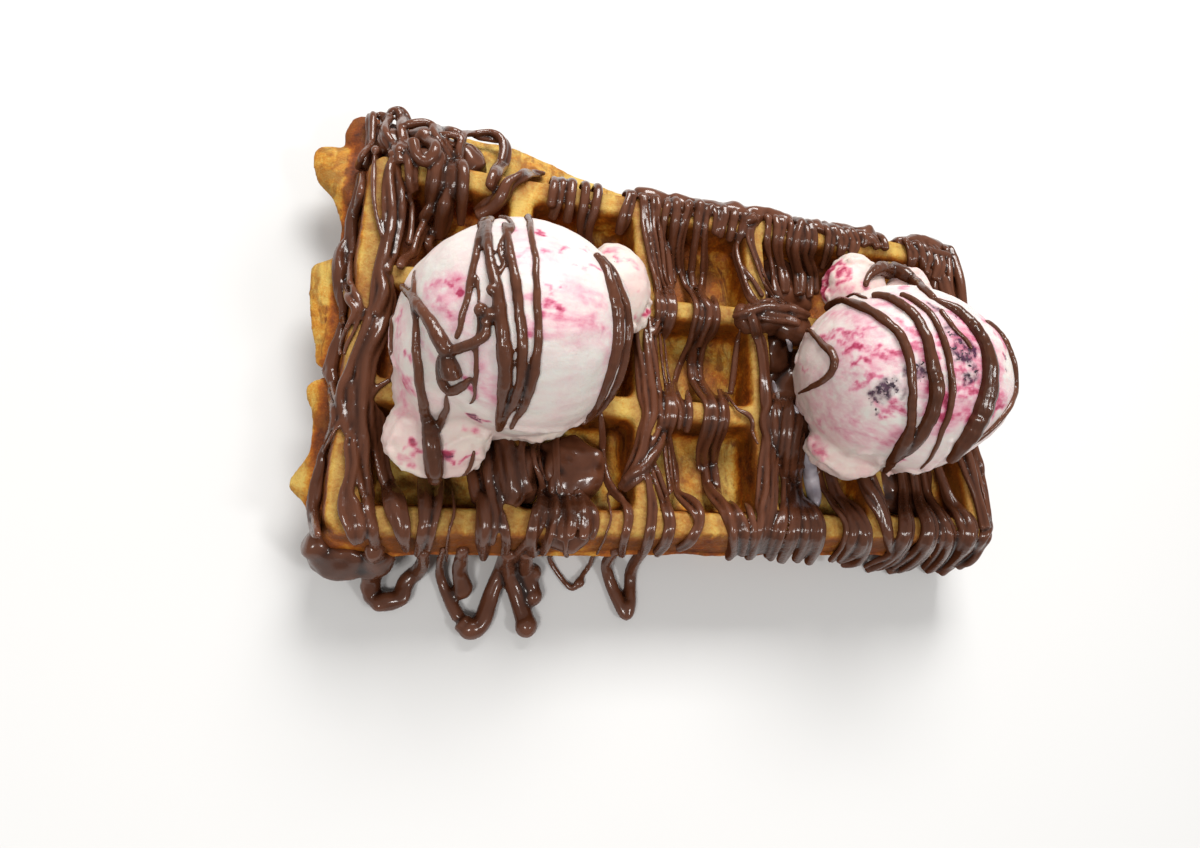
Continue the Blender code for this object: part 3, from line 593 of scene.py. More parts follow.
# chocolate that ran down to the floor: x, y, z and radius
spills = {
    "voxel": 0.5, "smooth": 4, "steps": 8, "grain": ((6.0, 0.2, 0.9), (3.0, 0.08, 0.22)),
    "foldFrom": -68.0, "foldWidth": 8.0,  # folded more left of here
    "paths": (
        ((-79.5, -51.0, 22, 2.0), (-80.5, -54.5, 8, 2.1), (-80.3, -59.5, 2.3, 2.5), (-77.5, -62.8, 2.3, 2.6),
         (-74.3, -61.5, 2.1, 2.3), (-72.4, -57.0, 2.1, 2.1), (-69.6, -54.4, 5, 1.9), (-69.3, -51.0, 18, 1.6)),
        ((-64.8, -50.5, 20, 0.8), (-65.2, -53.5, 6, 1.1), (-64.0, -58.0, 1.5, 1.4), (-59.0, -67.0, 1.9, 1.9)),
        ((-59.0, -67.0, 2.4, 2.5), (-56.0, -69.4, 2.5, 2.6), (-53.6, -67.3, 2.5, 2.5), (-51.6, -60.0, 2.5, 2.2),
         (-49.6, -54.0, 5, 2.1), (-49.5, -51.0, 16, 1.8)),
        ((-60.3, -50.5, 20, 1.5), (-60.2, -54.5, 7, 2.0), (-58.9, -59.4, 2.3, 2.4)),
        ((-49.5, -51.0, 18, 2.0), (-48.0, -54.5, 6, 2.2), (-44.8, -62.0, 2.4, 2.4), (-42.1, -69.2, 2.6, 2.6)),
        ((-45.0, -50.8, 18, 2.0), (-43.5, -54.5, 6, 2.1), (-40.9, -61.0, 2.3, 2.3)),
        ((-22.0, -50.5, 18, 1.4), (-21.0, -54.5, 2.5, 1.7), (-16.0, -65.8, 1.9, 1.9), (-14.2, -64.8, 1.9, 1.8),
         (-13.9, -55.0, 2.5, 1.8), (-14.3, -50.5, 18, 1.5)),
        ((-36.5, -50.5, 8, 0.7), (-36.5, -52.0, 1.0, 0.8), (-31.0, -59.3, 0.9, 0.8), (-28.6, -58.4, 0.9, 0.9),
         (-27.6, -56.2, 0.9, 0.8), (-25.8, -53.6, 1.0, 0.8), (-25.8, -50.8, 8, 0.7)),
    ),
    "drops": (
        ((-87.0, -51.5, 9.5), (8.4, 5.2, 8.0)), ((-92.0, -49.5, 12.0), (3.6, 4.6, 6.0)),
        ((-80.0, -52.6, 10.0), (4.6, 4.0, 7.0)), ((-77.6, -62.4, 2.6), (3.2, 3.0, 2.6)),
        ((-56.2, -69.2, 2.7), (3.2, 2.9, 2.7)), ((-42.3, -69.0, 2.9), (2.9, 3.0, 2.8)),
        ((-58.9, -59.2, 2.4), (2.5, 2.8, 2.4)), ((-40.9, -61.6, 2.6), (2.5, 2.6, 2.6)),
        ((-41.5, -55.5, 3.6), (2.4, 2.6, 3.4)), ((-15.0, -65.2, 2.0), (2.3, 2.2, 2.0)),
        ((-28.4, -58.2, 1.2), (1.5, 1.5, 1.2)),
    ),
}


def runOff(material):
    paths = [roundEnds(blendPoints(path, spills["steps"])) for path in spills["paths"]]
    parts = [tubes(paths, "spill")] + [ball(*drop) for drop in spills["drops"]]
    piece = remesh(joinAll(parts, "chocolate_spill"), spills["voxel"], spills["smooth"])
    roughen(piece, spills["grain"], lambda spot: clamp((spills["foldFrom"] - spot.x) / spills["foldWidth"]))
    finishPiece(piece, material, "waffle")


# chocolate in the pockets and along the far rim, as lumps of a centre and half sizes
pools = {
    "voxel": 0.6, "smooth": 6, "grain": ((7.0, 1.5, 0.0), (3.0, 0.35, 0.0)),
    "lumps": (
        ((-36.5, -47.8, 26.6), (6.4, 4.2, 5.4)), ((-36.0, -31.0, 22.0), (9.4, 9.2, 5.6)),
        ((-50.0, -33.0, 24.5), (7.0, 8.0, 7.5)), ((-54.0, -36.0, 22.0), (6.0, 8.0, 6.0)),
        ((-78.0, 50.0, 26.0), (7.0, 4.0, 5.5)), ((34.0, 0.0, 19.5), (12.0, 11.0, 3.4)),
        ((31.0, 30.0, 19.0), (10.0, 11.0, 3.2)), ((25.0, 10.0, 22.0), (6.0, 8.0, 5.0)),
        ((-66.0, 60.0, 18.6), (4.6, 3.4, 2.4)), ((-84.4, 56.8, 21.5), (5.2, 5.4, 4.2)),
        ((-79.0, 57.4, 21.5), (6.4, 6.0, 5.4)), ((-73.0, 56.0, 21.5), (6.6, 6.2, 6.5)),
        ((-67.0, 55.5, 20.5), (5.8, 6.2, 6.4)), ((13.5, 14.0, 30.4), (4.8, 4.6, 3.4)),
        ((20.0, 14.6, 30.0), (6.5, 5.0, 4.0)), ((27.5, 13.6, 29.4), (6.5, 5.6, 4.6)),
        ((24.5, -17.5, 28.0), (7.5, 9.0, 6.0)), ((27.0, -22.0, 24.5), (8.0, 8.0, 4.0)),
        *(((x, 49.2, 28.6), (6.5, 3.8, 3.0))
          for x in (-14.0, -5.0, 4.0, 11.0, 17.0, 26.0, 40.0, 49.0, 58.0, 76.0, 84.0)),
        ((70.0, -31.0, 18.0), (11.0, 11.0, 1.6)), ((84.0, 40.0, 27.0), (4.0, 9.0, 4.0)),
    ),
}


def poolChocolate(material):
    balls = [ball(*lump) for lump in pools["lumps"]]
    piece = remesh(joinAll(balls, "chocolate_pools"), pools["voxel"], pools["smooth"])
    roughen(piece, pools["grain"])
    finishPiece(piece, material, "waffle")


# the body: pockets by column and row, their spacing, walls and rim, and the noise on the crust
waffle = {
    "columns": 5, "rows": 3, "pitchX": 34.6, "pitchY": 30.0, "thick": 30.0, "highest": 31.0,
    "pocketDepth": 12.5, "draft": 1.8, "ridgeHalf": 2.8, "rimHalf": 3.6, "rimDraft": 2.6,
    "corner": 5.0, "cornerSteps": 4, "merge": 0.001, "voxel": 1.0, "smooth": 5, "soft": 0.6,
    "grain": ((14.0, 0.55, 0.0), (2.6, 0.0, 0.22)), "roughFrom": 3.0, "roughTop": 0.35,  # the top is less rough
}
halfX = waffle["columns"] * waffle["pitchX"] / 2
halfY = waffle["rows"] * waffle["pitchY"] / 2
seam = waffle["thick"] / 2


def waffleHalf(bm):
    bmesh.ops.create_grid(bm, x_segments=waffle["columns"], y_segments=waffle["rows"], size=1.0)
    bmesh.ops.scale(bm, vec=(halfX, halfY, 1.0), verts=bm.verts[:])
    bmesh.ops.translate(bm, vec=(0, 0, seam), verts=bm.verts[:])
    cells = list(bm.faces)
    for inward, down in ((waffle["ridgeHalf"], 0.0), (waffle["draft"], waffle["pocketDepth"])):
        bmesh.ops.inset_individual(bm, faces=cells, thickness=inward, depth=-down, use_even_offset=True)
    edges = [edge for edge in bm.edges if edge.is_boundary]
    last = 0.0
    for out, height in ((waffle["rimHalf"], seam), (waffle["rimHalf"] + waffle["rimDraft"], 0.0)):
        grown = bmesh.ops.extrude_edge_only(bm, edges=edges)["geom"]
        edges = [item for item in grown if isinstance(item, bmesh.types.BMEdge)]
        for vert in {vert for edge in edges for vert in edge.verts}:
            vert.co.x *= (halfX + out) / (halfX + last)
            vert.co.y *= (halfY + out) / (halfY + last)
            vert.co.z = height
        last = out


def roundCorners(bm):
    corners = []
    for edge in bm.edges:
        outer = all(abs(vert.co.x) > halfX + 1 and abs(vert.co.y) > halfY + 1 for vert in edge.verts)
        if outer and not edge.is_boundary:
            corners.append(edge)
    bmesh.ops.bevel(bm, geom=corners, offset=waffle["corner"], offset_type="OFFSET",
                    segments=waffle["cornerSteps"], profile=0.5, affect="EDGES", material=-1)


# how brown the crust is, from 0 to 1, with painted shade on the pocket walls, and the heights from the seam where that
# changes
bakingAndShade = {
    "ridge": 0.05, "rim": 0.10, "side": 0.30, "sideMore": 0.42, "sideLess": 0.8, "wall": 0.76,
    "floors": (0.12, 0.32, 0.48),  # near, middle and far row of pockets
    "topFrom": 12.6, "topFade": 2.0, "floorTo": 6.0, "floorFade": 3.0, "edge": 0.6,
    "stainTo": 1.6, "stainFade": 3.0,  # syrup beside a strand
}


def bakedAndShadeAmount(x, y, z):
    # pale on the ridges, browner down the walls and outside; the darker pocket walls are partly baked colour and partly
    # painted shade
    out = max(abs(x) - halfX - waffle["rimHalf"], abs(y) - halfY - waffle["rimHalf"])
    height = abs(z - seam)
    top = clamp((height - bakingAndShade["topFrom"]) / bakingAndShade["topFade"])
    if out > -bakingAndShade["edge"]:
        side = bakingAndShade["side"] + bakingAndShade["sideMore"] * clamp((out + bakingAndShade["edge"]) / (2 * bakingAndShade["edge"]))
        return bakingAndShade["rim"] * top + side * (1.0 - bakingAndShade["sideLess"] * top)
    floor = clamp((bakingAndShade["floorTo"] - height) / bakingAndShade["floorFade"])
    near, middle, far = bakingAndShade["floors"]
    floorTone = near if y < -halfY / 3 else middle if y < halfY / 3 else far
    # painted shade: the pocket walls stay darker than the floors and the ridge tops
    wall = bakingAndShade["wall"] + (floorTone - bakingAndShade["wall"]) * floor
    return wall * (1.0 - top) + bakingAndShade["ridge"] * top


def crustRoughness(spot):
    outside = max(abs(spot.x) - halfX, abs(spot.y) - halfY) > waffle["roughFrom"]
    return 1.0 if outside else waffle["roughTop"]


def paintCrust(obj, strandPoints):
    tree = KDTree(len(strandPoints))
    for index, point in enumerate(strandPoints):
        tree.insert(point[:3], index)
    tree.balance()
    bakedAndShade, stain = [], []
    for vert in obj.data.vertices:
        bakedAndShade.append(bakedAndShadeAmount(*vert.co))
        away = tree.find(vert.co)[2]
        stain.append(clamp(1.0 - (away - bakingAndShade["stainTo"]) / bakingAndShade["stainFade"]) if vert.co.z > seam else 0.0)
    paint(obj, "bakedAndShade", bakedAndShade)
    paint(obj, "stain", stain)


def bakeWaffle(material, strandPoints):
    bm = bmesh.new()
    waffleHalf(bm)
    roundCorners(bm)
    everything = bm.verts[:] + bm.edges[:] + bm.faces[:]
    bmesh.ops.mirror(bm, geom=everything, matrix=Matrix.Identity(4), merge_dist=waffle["merge"], axis="Z")
    bmesh.ops.recalc_face_normals(bm, faces=bm.faces[:])
    bmesh.ops.translate(bm, vec=(0, 0, seam), verts=bm.verts[:])
    crust = remesh(newObject(bm, "waffle_crust"), waffle["voxel"], waffle["smooth"], waffle["soft"])
    roughen(crust, waffle["grain"], crustRoughness)
    for vert in crust.data.vertices:
        vert.co.z = clamp(vert.co.z, 0.0, waffle["highest"])
    paintCrust(crust, strandPoints)
    finishPiece(crust, material, "waffle")


# batter squeezed out along the seam: its edge at the far and left sides, and how far it stands out at the others
flash = {
    "voxel": 0.7, "smooth": 4, "soft": 0.6, "half": 1.7, "top": 17.6, "near": 1.3, "right": 2.4, "step": 14.0,
    "root": 0.8, "grow": 1.3, "growLeft": -93, "growFar": 53, "steps": 4,
    "rings": ((0.0, 1.0), (0.72, 1.0), (1.0, 0.0), (0.72, -1.0), (0.0, -1.0)),  # share of the way out, and height
    "puff": (0.45, 14.0, 10.0), "grain": ((8.0, 0.6, 0.0), (1.8, 0.16, 0.0)),
    "pale": 0.12, "brown": 0.50, "brownLeft": 11.0, "leftFade": 2.0, "brownFar": 9.0, "farFade": 3.0,
    "leftFrom": -4.0, "cornerFrom": 57.0, "cornerMore": 1.2,
    "lobes": (
        (60.0, 53.8), (35.0, 54.4), (10.0, 54.0), (-10.0, 55.5), (-25.5, 59.0), (-40.0, 62.8), (-54.0, 67.2),
        (-66.0, 67.8), (-80.0, 67.4), (-90.0, 68.4), (-95.5, 68.2), (-98.5, 62.5), (-98.6, 57.5), (-104.0, 56.2),
        (-105.6, 53.0), (-103.6, 46.8), (-99.0, 42.0), (-96.3, 33.0), (-97.0, 24.5), (-101.3, 21.5), (-102.1, 16.5),
        (-100.4, 8.0), (-98.8, 0.0), (-97.6, -4.8), (-94.2, -7.8), (-98.8, -11.6), (-96.8, -19.0), (-96.4, -27.5),
        (-99.9, -36.0), (-95.8, -41.0), (-93.6, -47.0),
    ),
}


def flashOutline():
    near = -(halfY + waffle["rimHalf"] + waffle["rimDraft"] + flash["near"])
    right = halfX + waffle["rimHalf"] + waffle["rimDraft"] + flash["right"]
    across = round(2 * halfX / flash["step"])
    along = round(2 * halfY / flash["step"])
    points = [(-halfX + 2 * halfX * step / across, near) for step in range(across + 1)]
    points += [(right, -halfY + 2 * halfY * step / along) for step in range(along + 1)]
    for x, y in flash["lobes"]:
        points.append((x - flash["grow"] * (x < flash["growLeft"]), y + flash["grow"] * (y > flash["growFar"])))
    return blendPoints(points + [points[0]], flash["steps"])[:-1]


def bakedFlash(spot):
    # brown where it leaves the waffle, pale at its edge
    sideways = abs(spot.x) - halfX
    if sideways > flash["leftFrom"]:
        more = max(0.0, flash["cornerMore"] * (spot.y - flash["cornerFrom"]))
        brown = clamp((flash["brownLeft"] - sideways + more) / flash["leftFade"])
    else:
        brown = clamp((flash["brownFar"] - abs(spot.y) + halfY) / flash["farFade"])
    return flash["pale"] + flash["brown"] * brown


def squeezeFlash(material):
    # rings of edges, bridged over the top, the edge and the underside
    bm = bmesh.new()
    puffed, puffFrom, puffWidth = flash["puff"]
    loops = []
    for share, level in flash["rings"]:
        verts = []
        for x, y in flashOutline():
            rootX = clamp(x * flash["root"], -halfX, halfX)
            rootY = clamp(y * flash["root"], -halfY, halfY)
            puff = 1.0 + puffed * clamp((math.hypot(x - rootX, y - rootY) - puffFrom) / puffWidth)
            z = seam + flash["half"] * level * puff
            verts.append(bm.verts.new((rootX + (x - rootX) * share, rootY + (y - rootY) * share, z)))
        loops.append([bm.edges.new((verts[i - 1], verts[i])) for i in range(len(verts))])
    for index, loop in enumerate(loops):
        bmesh.ops.bridge_loops(bm, edges=loop + loops[(index + 1) % len(loops)])
    bmesh.ops.recalc_face_normals(bm, faces=bm.faces[:])
    obj = remesh(newObject(bm, "batter_flash"), flash["voxel"], flash["smooth"], flash["soft"])
    roughen(obj, flash["grain"])
    paint(obj, "bakedAndShade", [bakedFlash(vert.co) for vert in obj.data.vertices])
    paint(obj, "stain", [0.0] * len(obj.data.vertices))
    tree = treeOf(obj)
    finishPiece(obj, material, "waffle")
    return tree


# both scoops: the balls are centre and half sizes in millimetres, and the rest is drawn in pixels
iceCream = {
    "baseVoxel": 1.0, "baseSmooth": 2, "voxel": 0.5, "smooth": 4, "lipSteps": 5, "lipSink": 0.25, "lipSize": (0.8, 1.2),
    "tornTo": 43.0, "tornFade": 8.0, "torn": ((4.5, 0.14, 1.2), (1.9, 0.05, 0.55)),  # torn below the first height
    "swell": (16.0, 0.9), "lines": (16.0, 3.4, 0.22),  # noise: its size and height, and for lines its length too
    "blur": ((3.0, 2.2), (1.1, 0.8)),  # two noises that break up the edges of the streaks
    "streak": (1.35, 0.8), "darkSpot": 1.6,  # how full a streak is in the middle and how it fades
}
overScoop = {
    "voxel": 0.34, "smooth": 2, "steps": 6, "smoothPath": 4, "thicker": 0.14, "uneven": (0.94, 1.06),
    "lift": 0.35, "knotLift": 0.4, "knotLevel": 3, "grain": ((4.0, 0.3, 0.0),),
}
berryBits = {
    "voxel": 0.2, "smooth": 1, "each": 16, "spread": 1.25, "size": (0.18, 0.42), "sink": 0.35, "flat": (0.8, 0.7),
    "level": 2, "grain": ((0.7, 0.25, 0.0),),
}
leftScoop = {
    "name": "scoop_left", "blush": 0.06,
    "balls": (
        ((-51.9, -3.1, 47.4), (26.0, 25.0, 26.2)), ((-65.6, -5.0, 43.0), (14.5, 21.5, 20.0)),
        ((-67.5, -15.0, 37.0), (11.5, 12.0, 14.0)), ((-68.5, -27.5, 37.5), (11.8, 9.3, 6.8)),
        ((-27.5, 14.5, 37.2), (10.0, 13.0, 8.4)), ((-52.0, -4.0, 34.0), (24.0, 23.0, 8.0)),
    ),
    "streaks": (
        ((430, 288), (462, 286), 10, 0.32), ((447, 277), (455, 282), 4, 0.75), ((454, 294), (463, 290), 4, 0.8),
        ((438, 302), (450, 312), 7, 0.42), ((537, 233), (543, 236), 3, 0.8), ((520, 252), (530, 250), 4, 0.35),
        ((543, 250), (590, 252), 3, 0.42), ((575, 262), (595, 268), 3, 0.5), ((540, 283), (545, 287), 3, 0.5),
        ((548, 293), (560, 291), 3, 0.6), ((545, 290), (600, 300), 9, 0.2), ((543, 312), (562, 311), 6, 0.75),
        ((548, 305), (560, 304), 3, 0.8), ((560, 320), (600, 325), 9, 0.28), ((540, 330), (605, 335), 8, 0.18),
        ((525, 295), (535, 310), 5, 0.35), ((522, 325), (530, 332), 5, 0.55), ((503, 222), (515, 232), 4, 0.4),
        ((520, 262), (540, 275), 6, 0.25), ((470, 385), (475, 392), 5, 0.6), ((482, 385), (495, 400), 6, 0.3),
        ((475, 418), (490, 422), 5, 0.8), ((465, 427), (480, 431), 4, 0.45), ((475, 345), (495, 400), 12, 0.2),
        ((617, 262), (620, 258), 3, 0.8), ((610, 250), (635, 265), 5, 0.35), ((640, 315), (655, 312), 4, 0.85),
        ((622, 285), (640, 290), 4, 0.25), ((397, 320), (399, 335), 5, 0.5), ((402, 375), (412, 390), 7, 0.45),
        ((403, 352), (412, 355), 3, 0.7), ((388, 330), (391, 345), 4, 0.35), ((412, 441), (415, 450), 4, 0.9),
        ((443, 452), (455, 460), 4, 0.9), ((400, 458), (412, 460), 3, 0.4), ((468, 458), (478, 450), 3, 0.5),
        ((400, 390), (404, 412), 6, 0.25), ((420, 335), (426, 350), 5, 0.3), ((400, 325), (404, 405), 14, 0.16),
        ((440, 285), (455, 312), 17, 0.2), ((530, 238), (565, 300), 20, 0.1), ((565, 325), (605, 330), 14, 0.14),
        ((608, 345), (606, 385), 12, 0.12),
    ),
    "strands": (
        ((393, 312, 0.8), (393, 330, 1.8), (392, 350, 1.8), (391, 366, 0.8)),
        ((415, 270, 0.8), (415, 290, 2.5), (418, 325, 3.5), (418, 350, 4), (420, 375, 4.5), (424, 400, 4.5),
         (427, 418, 6), (431, 435, 8.5), (433, 455, 9.5), (434, 470, 8.5), (434, 478, 6)),
        ((400, 284, 3), (415, 298, 4.5), (430, 320, 6), (443, 340, 7.5), (450, 354, 8)),
        ((487, 325, 4), (485, 337, 5), (465, 347, 5), (450, 352, 5), (442, 362, 5), (444, 380, 5), (452, 390, 5),
         (465, 384, 4), (471, 376, 1.5)),
        ((446, 352, 6), (452, 366, 10), (455, 377, 10)),
        ((447, 394, 1.2), (446, 408, 3), (440, 422, 4), (434, 432, 5)),
        ((484, 216, 4), (480, 240, 3.6), (475, 260, 3.6), (470, 290, 3.2), (462, 320, 3), (457, 340, 2.4)),
        ((478, 275, 1.2), (479, 305, 1.5), (479, 330, 1.6), (477, 350, 2), (476, 380, 2), (475, 395, 1.6),
         (470, 404, 0.8)),
        ((490, 217, 4), (488, 240, 4.5), (492, 265, 5), (498, 290, 6), (502, 320, 7), (505, 350, 7.5), (506, 370, 7),
         (503, 392, 5.5), (500, 415, 4), (499, 430, 2.5)),
        ((505, 225, 3), (508, 240, 3.5), (515, 275, 4.5), (518, 300, 5), (521, 325, 5), (522, 350, 5),
         (521, 375, 4.5), (515, 400, 4), (507, 415, 3), (500, 430, 2)),
        ((528, 214, 3.5), (531, 235, 3), (535, 260, 3), (536, 290, 3.2), (538, 320, 3.8), (538, 345, 4.6),
         (534, 370, 4.6), (528, 395, 4), (520, 413, 3), (510, 428, 2)),
        ((497, 215, 2), (510, 221, 2), (513, 230, 2), (503, 239, 2), (500, 250, 2), (504, 264, 2), (499, 275, 2)),
        ((595, 255, 3.5), (605, 270, 5), (612, 295, 6), (616, 320, 6.5), (614, 350, 6), (606, 382, 5), (596, 405, 4),
         (583, 426, 2)),
        ((601, 257, 2.5), (611, 272, 4), (620, 295, 4.6), (627, 320, 5), (624, 350, 5), (616, 380, 4.4),
         (603, 405, 3.6), (588, 423, 2)),
        ((474, 450, 1.4), (470, 465, 1.8), (462, 477, 1.2)),
    ),
    "knots": (
        (494, 291, 7), (482, 310, 7), (493, 315, 7.5), (488, 322, 6),
    ),
    "lips": (
        ((386, 445, 5), (394, 458, 6), (408, 469, 6), (426, 475, 6), (450, 477, 6), (468, 471, 6), (479, 459, 6),
         (478, 448, 4)),
        ((388, 442, 5), (394, 436, 5), (398, 424, 4), (404, 420, 5), (413, 421, 4)),
        ((495, 425, 4), (520, 429, 5), (550, 429, 5), (575, 423, 5), (596, 410, 4)),
        ((560, 233, 4), (575, 240, 5), (588, 247, 4)), ((392, 318, 4), (388, 334, 5), (390, 350, 5), (394, 366, 4)),
        ((442, 456, 3), (452, 446, 4), (466, 438, 4), (480, 440, 5), (487, 432, 4)),
        ((632, 330, 5), (646, 326, 6), (657, 314, 6), (656, 300, 5)),
    ),
    "berries": (
        (414, 445, 2.0), (452, 456, 2.0), (478, 419, 3.0), (556, 311, 2.0), (615, 262, 1.4),
    ),
}
rightScoop = {
    "name": "scoop_right", "blush": 0.09,
    "balls": (
        ((50.8, -7.2, 49.3), (30.6, 25.0, 25.8)), ((46.5, 23.0, 38.0), (10.5, 12.8, 7.8)),
        ((65.5, 21.5, 38.0), (8.0, 13.0, 6.6)), ((38.5, -24.5, 38.0), (12.0, 8.8, 6.5)),
        ((52.0, -8.0, 34.0), (25.0, 22.0, 8.0)),
    ),
    "streaks": (
        ((822, 338), (842, 333), 4, 0.6), ((842, 335), (870, 330), 4, 0.55), ((860, 330), (886, 326), 3, 0.5),
        ((835, 342), (860, 338), 3, 0.4), ((845, 352), (857, 349), 4, 0.85), ((868, 348), (886, 346), 3, 0.5),
        ((855, 350), (895, 353), 3, 0.45), ((880, 356), (901, 355), 5, 0.7), ((855, 363), (868, 362), 4, 0.9),
        ((865, 379), (882, 375), 3, 0.6), ((855, 387), (866, 385), 3.5, 0.6), ((885, 408), (902, 405), 6, 0.6),
        ((888, 415), (901, 412), 5, 0.75), ((905, 340), (918, 350), 4, 0.7), ((915, 330), (922, 352), 5, 0.65),
        ((893, 318), (915, 330), 4, 0.5), ((930, 355), (940, 372), 5, 0.9), ((932, 385), (945, 405), 7, 0.85),
        ((930, 412), (945, 418), 6, 0.9), ((953, 310), (965, 325), 4, 0.7), ((955, 365), (965, 378), 6, 0.8),
        ((955, 385), (970, 390), 5, 0.75), ((965, 375), (975, 392), 5, 0.7), ((985, 320), (1005, 345), 8, 0.42),
        ((1003, 357), (1006, 360), 3, 1.0), ((990, 385), (1000, 405), 7, 0.75), ((985, 405), (995, 412), 4, 0.7),
        ((945, 427), (960, 417), 4, 0.35), ((800, 368), (810, 370), 2, 0.4), ((815, 425), (860, 420), 5, 0.26),
        ((810, 440), (825, 455), 5, 0.3), ((880, 442), (905, 430), 8, 0.25), ((893, 462), (905, 460), 4, 0.5),
        ((826, 274), (837, 264), 5, 1.6), ((821, 298), (826, 276), 5, 1.6), ((838, 262), (842, 272), 4, 1.2),
        ((838, 283), (848, 276), 3, 0.7), ((830, 292), (850, 287), 4, 0.4), ((865, 283), (905, 288), 5, 0.5),
        ((830, 315), (880, 320), 9, 0.2), ((840, 370), (900, 362), 10, 0.2), ((935, 330), (945, 350), 4, 0.6),
        ((945, 310), (980, 345), 6, 0.35), ((960, 400), (975, 425), 6, 0.4), ((825, 400), (860, 430), 24, 0.12),
        ((965, 345), (990, 390), 20, 0.32), ((850, 345), (900, 335), 18, 0.14), ((925, 380), (945, 420), 14, 0.3),
        ((990, 352), (1001, 400), 12, 0.34), ((880, 302), (935, 312), 12, 0.2),
    ),
    "strands": (
        ((805, 331, 1.6), (812, 332, 2), (820, 342, 3), (832, 352, 4), (836, 362, 4.5), (830, 375, 3.4),
         (815, 386, 2.4), (794, 396, 1)),
        ((828, 308, 4), (840, 302, 4.4), (860, 307, 4.5), (880, 317, 4.5), (897, 332, 4.6), (908, 352, 4.6),
         (912, 380, 4.4), (912, 405, 4.4), (911, 425, 5), (904, 443, 7), (893, 458, 5), (885, 472, 2.5)),
        ((872, 297, 3), (885, 297, 4), (900, 305, 4.5), (915, 317, 4.6), (925, 335, 5), (931, 360, 6), (936, 385, 7),
         (932, 410, 7), (920, 436, 6), (905, 450, 5), (892, 460, 3)),
        ((900, 295, 2.6), (915, 302, 3), (932, 317, 3), (942, 337, 3.4), (949, 360, 3.4), (952, 385, 3.5),
         (950, 408, 3.2), (941, 432, 2.6), (932, 455, 2), (920, 469, 0.8)),
        ((940, 310, 2.2), (952, 327, 2.2), (965, 340, 2), (971, 350, 1.2)),
        ((935, 300, 3), (957, 312, 5), (970, 325, 6), (980, 340, 7), (986, 357, 8), (987, 380, 8.5), (982, 402, 10),
         (972, 425, 10), (960, 443, 8), (948, 460, 4)),
        ((985, 321, 1.6), (1002, 335, 2.8), (1014, 355, 3.4), (1017, 380, 3.4), (1009, 405, 3), (994, 425, 2.6),
         (977, 440, 2), (962, 450, 1.2)),
        ((865, 287, 2.6), (868, 277, 4), (878, 270, 7), (890, 270, 8), (903, 275, 7), (915, 283, 5), (925, 292, 4),
         (935, 300, 3)),
        ((842, 300, 1.2), (855, 295, 2), (867, 299, 1.4)), ((892, 265, 1.6), (900, 261, 2.2), (907, 265, 1.6)),
    ),
    "knots": (),
    "lips": (
        ((811, 432, 4), (813, 446, 5), (823, 457, 6), (836, 466, 6), (848, 471, 7), (862, 472, 8), (876, 468, 7),
         (882, 460, 4)),
        ((888, 472, 4), (903, 469, 4), (920, 468, 5), (936, 461, 4), (947, 450, 4), (949, 440, 3)),
        ((848, 455, 4), (860, 452, 5), (872, 455, 4)), ((825, 275, 4), (824, 290, 5), (830, 302, 4)),
        ((848, 262, 5), (862, 260, 5), (876, 264, 4)), ((905, 272, 5), (920, 272, 5), (928, 284, 4)),
        ((812, 330, 4), (800, 345, 3), (797, 362, 3)),
    ),
    "berries": (
        (872, 396, 3.0), (880, 391, 4.0), (888, 386, 4.5), (896, 382, 3.5), (890, 394, 3.5), (900, 390, 3.0),
        (878, 402, 2.0), (913, 372, 3.5), (920, 366, 4.0), (924, 374, 3.5), (917, 380, 2.5), (875, 409, 2.2),
        (953, 352, 4.0), (962, 356, 5.0), (970, 350, 4.5), (960, 345, 3.0), (968, 362, 4.0), (975, 372, 3.5),
        (966, 376, 3.5), (952, 332, 4.0), (936, 309, 3.0), (957, 317, 2.5), (1005, 357, 2.5), (1006, 370, 1.6),
        (992, 405, 1.8),
    ),
}


def treeOf(obj):
    faces = [tuple(face.vertices) for face in obj.data.polygons]
    return BVHTree.FromPolygons([vert.co.copy() for vert in obj.data.vertices], faces)


def distanceToLine(point, start, end):
    run = end - start
    t = clamp((point - start).dot(run) / max(run.length_squared, 1e-6))
    return (point - (start + run * t)).length


def shapeCream(scoop):
    # balls with torn lips around the foot, melted together
    base = joinAll([ball(*part) for part in scoop["balls"]], "base")
    base = remesh(base, iceCream["baseVoxel"], iceCream["baseSmooth"])
    baseTree = treeOf(base)
    lips = []
    for points in scoop["lips"]:
        path = []
        for u, v, half in blendPoints(points, iceCream["lipSteps"]):
            spot, normal, radius = onMesh(baseTree, u, v, half)
            sunk = spot - normal * radius * iceCream["lipSink"]
            path.append((*sunk, radius * random.uniform(*iceCream["lipSize"])))
        lips.append(path)
    cream = joinAll([base, tubes(lips, "lips")], "cream_" + scoop["name"])
    cream = remesh(cream, iceCream["voxel"], iceCream["smooth"])
    size, height = iceCream["swell"]
    long, fine, deep = iceCream["lines"]
    for vert in cream.data.vertices:
        low = clamp((iceCream["tornTo"] - vert.co.z) / iceCream["tornFade"])
        vert.co += noise.noise_vector(vert.co / size) * height
        x, y, z = vert.co
        vert.co += noise.noise_vector(Vector((x / long, y / fine, z / fine))) * deep
        for tornSize, tornHeight, more in iceCream["torn"]:
            vert.co += noise.noise_vector(vert.co / tornSize) * (tornHeight + more * low)
    return cream


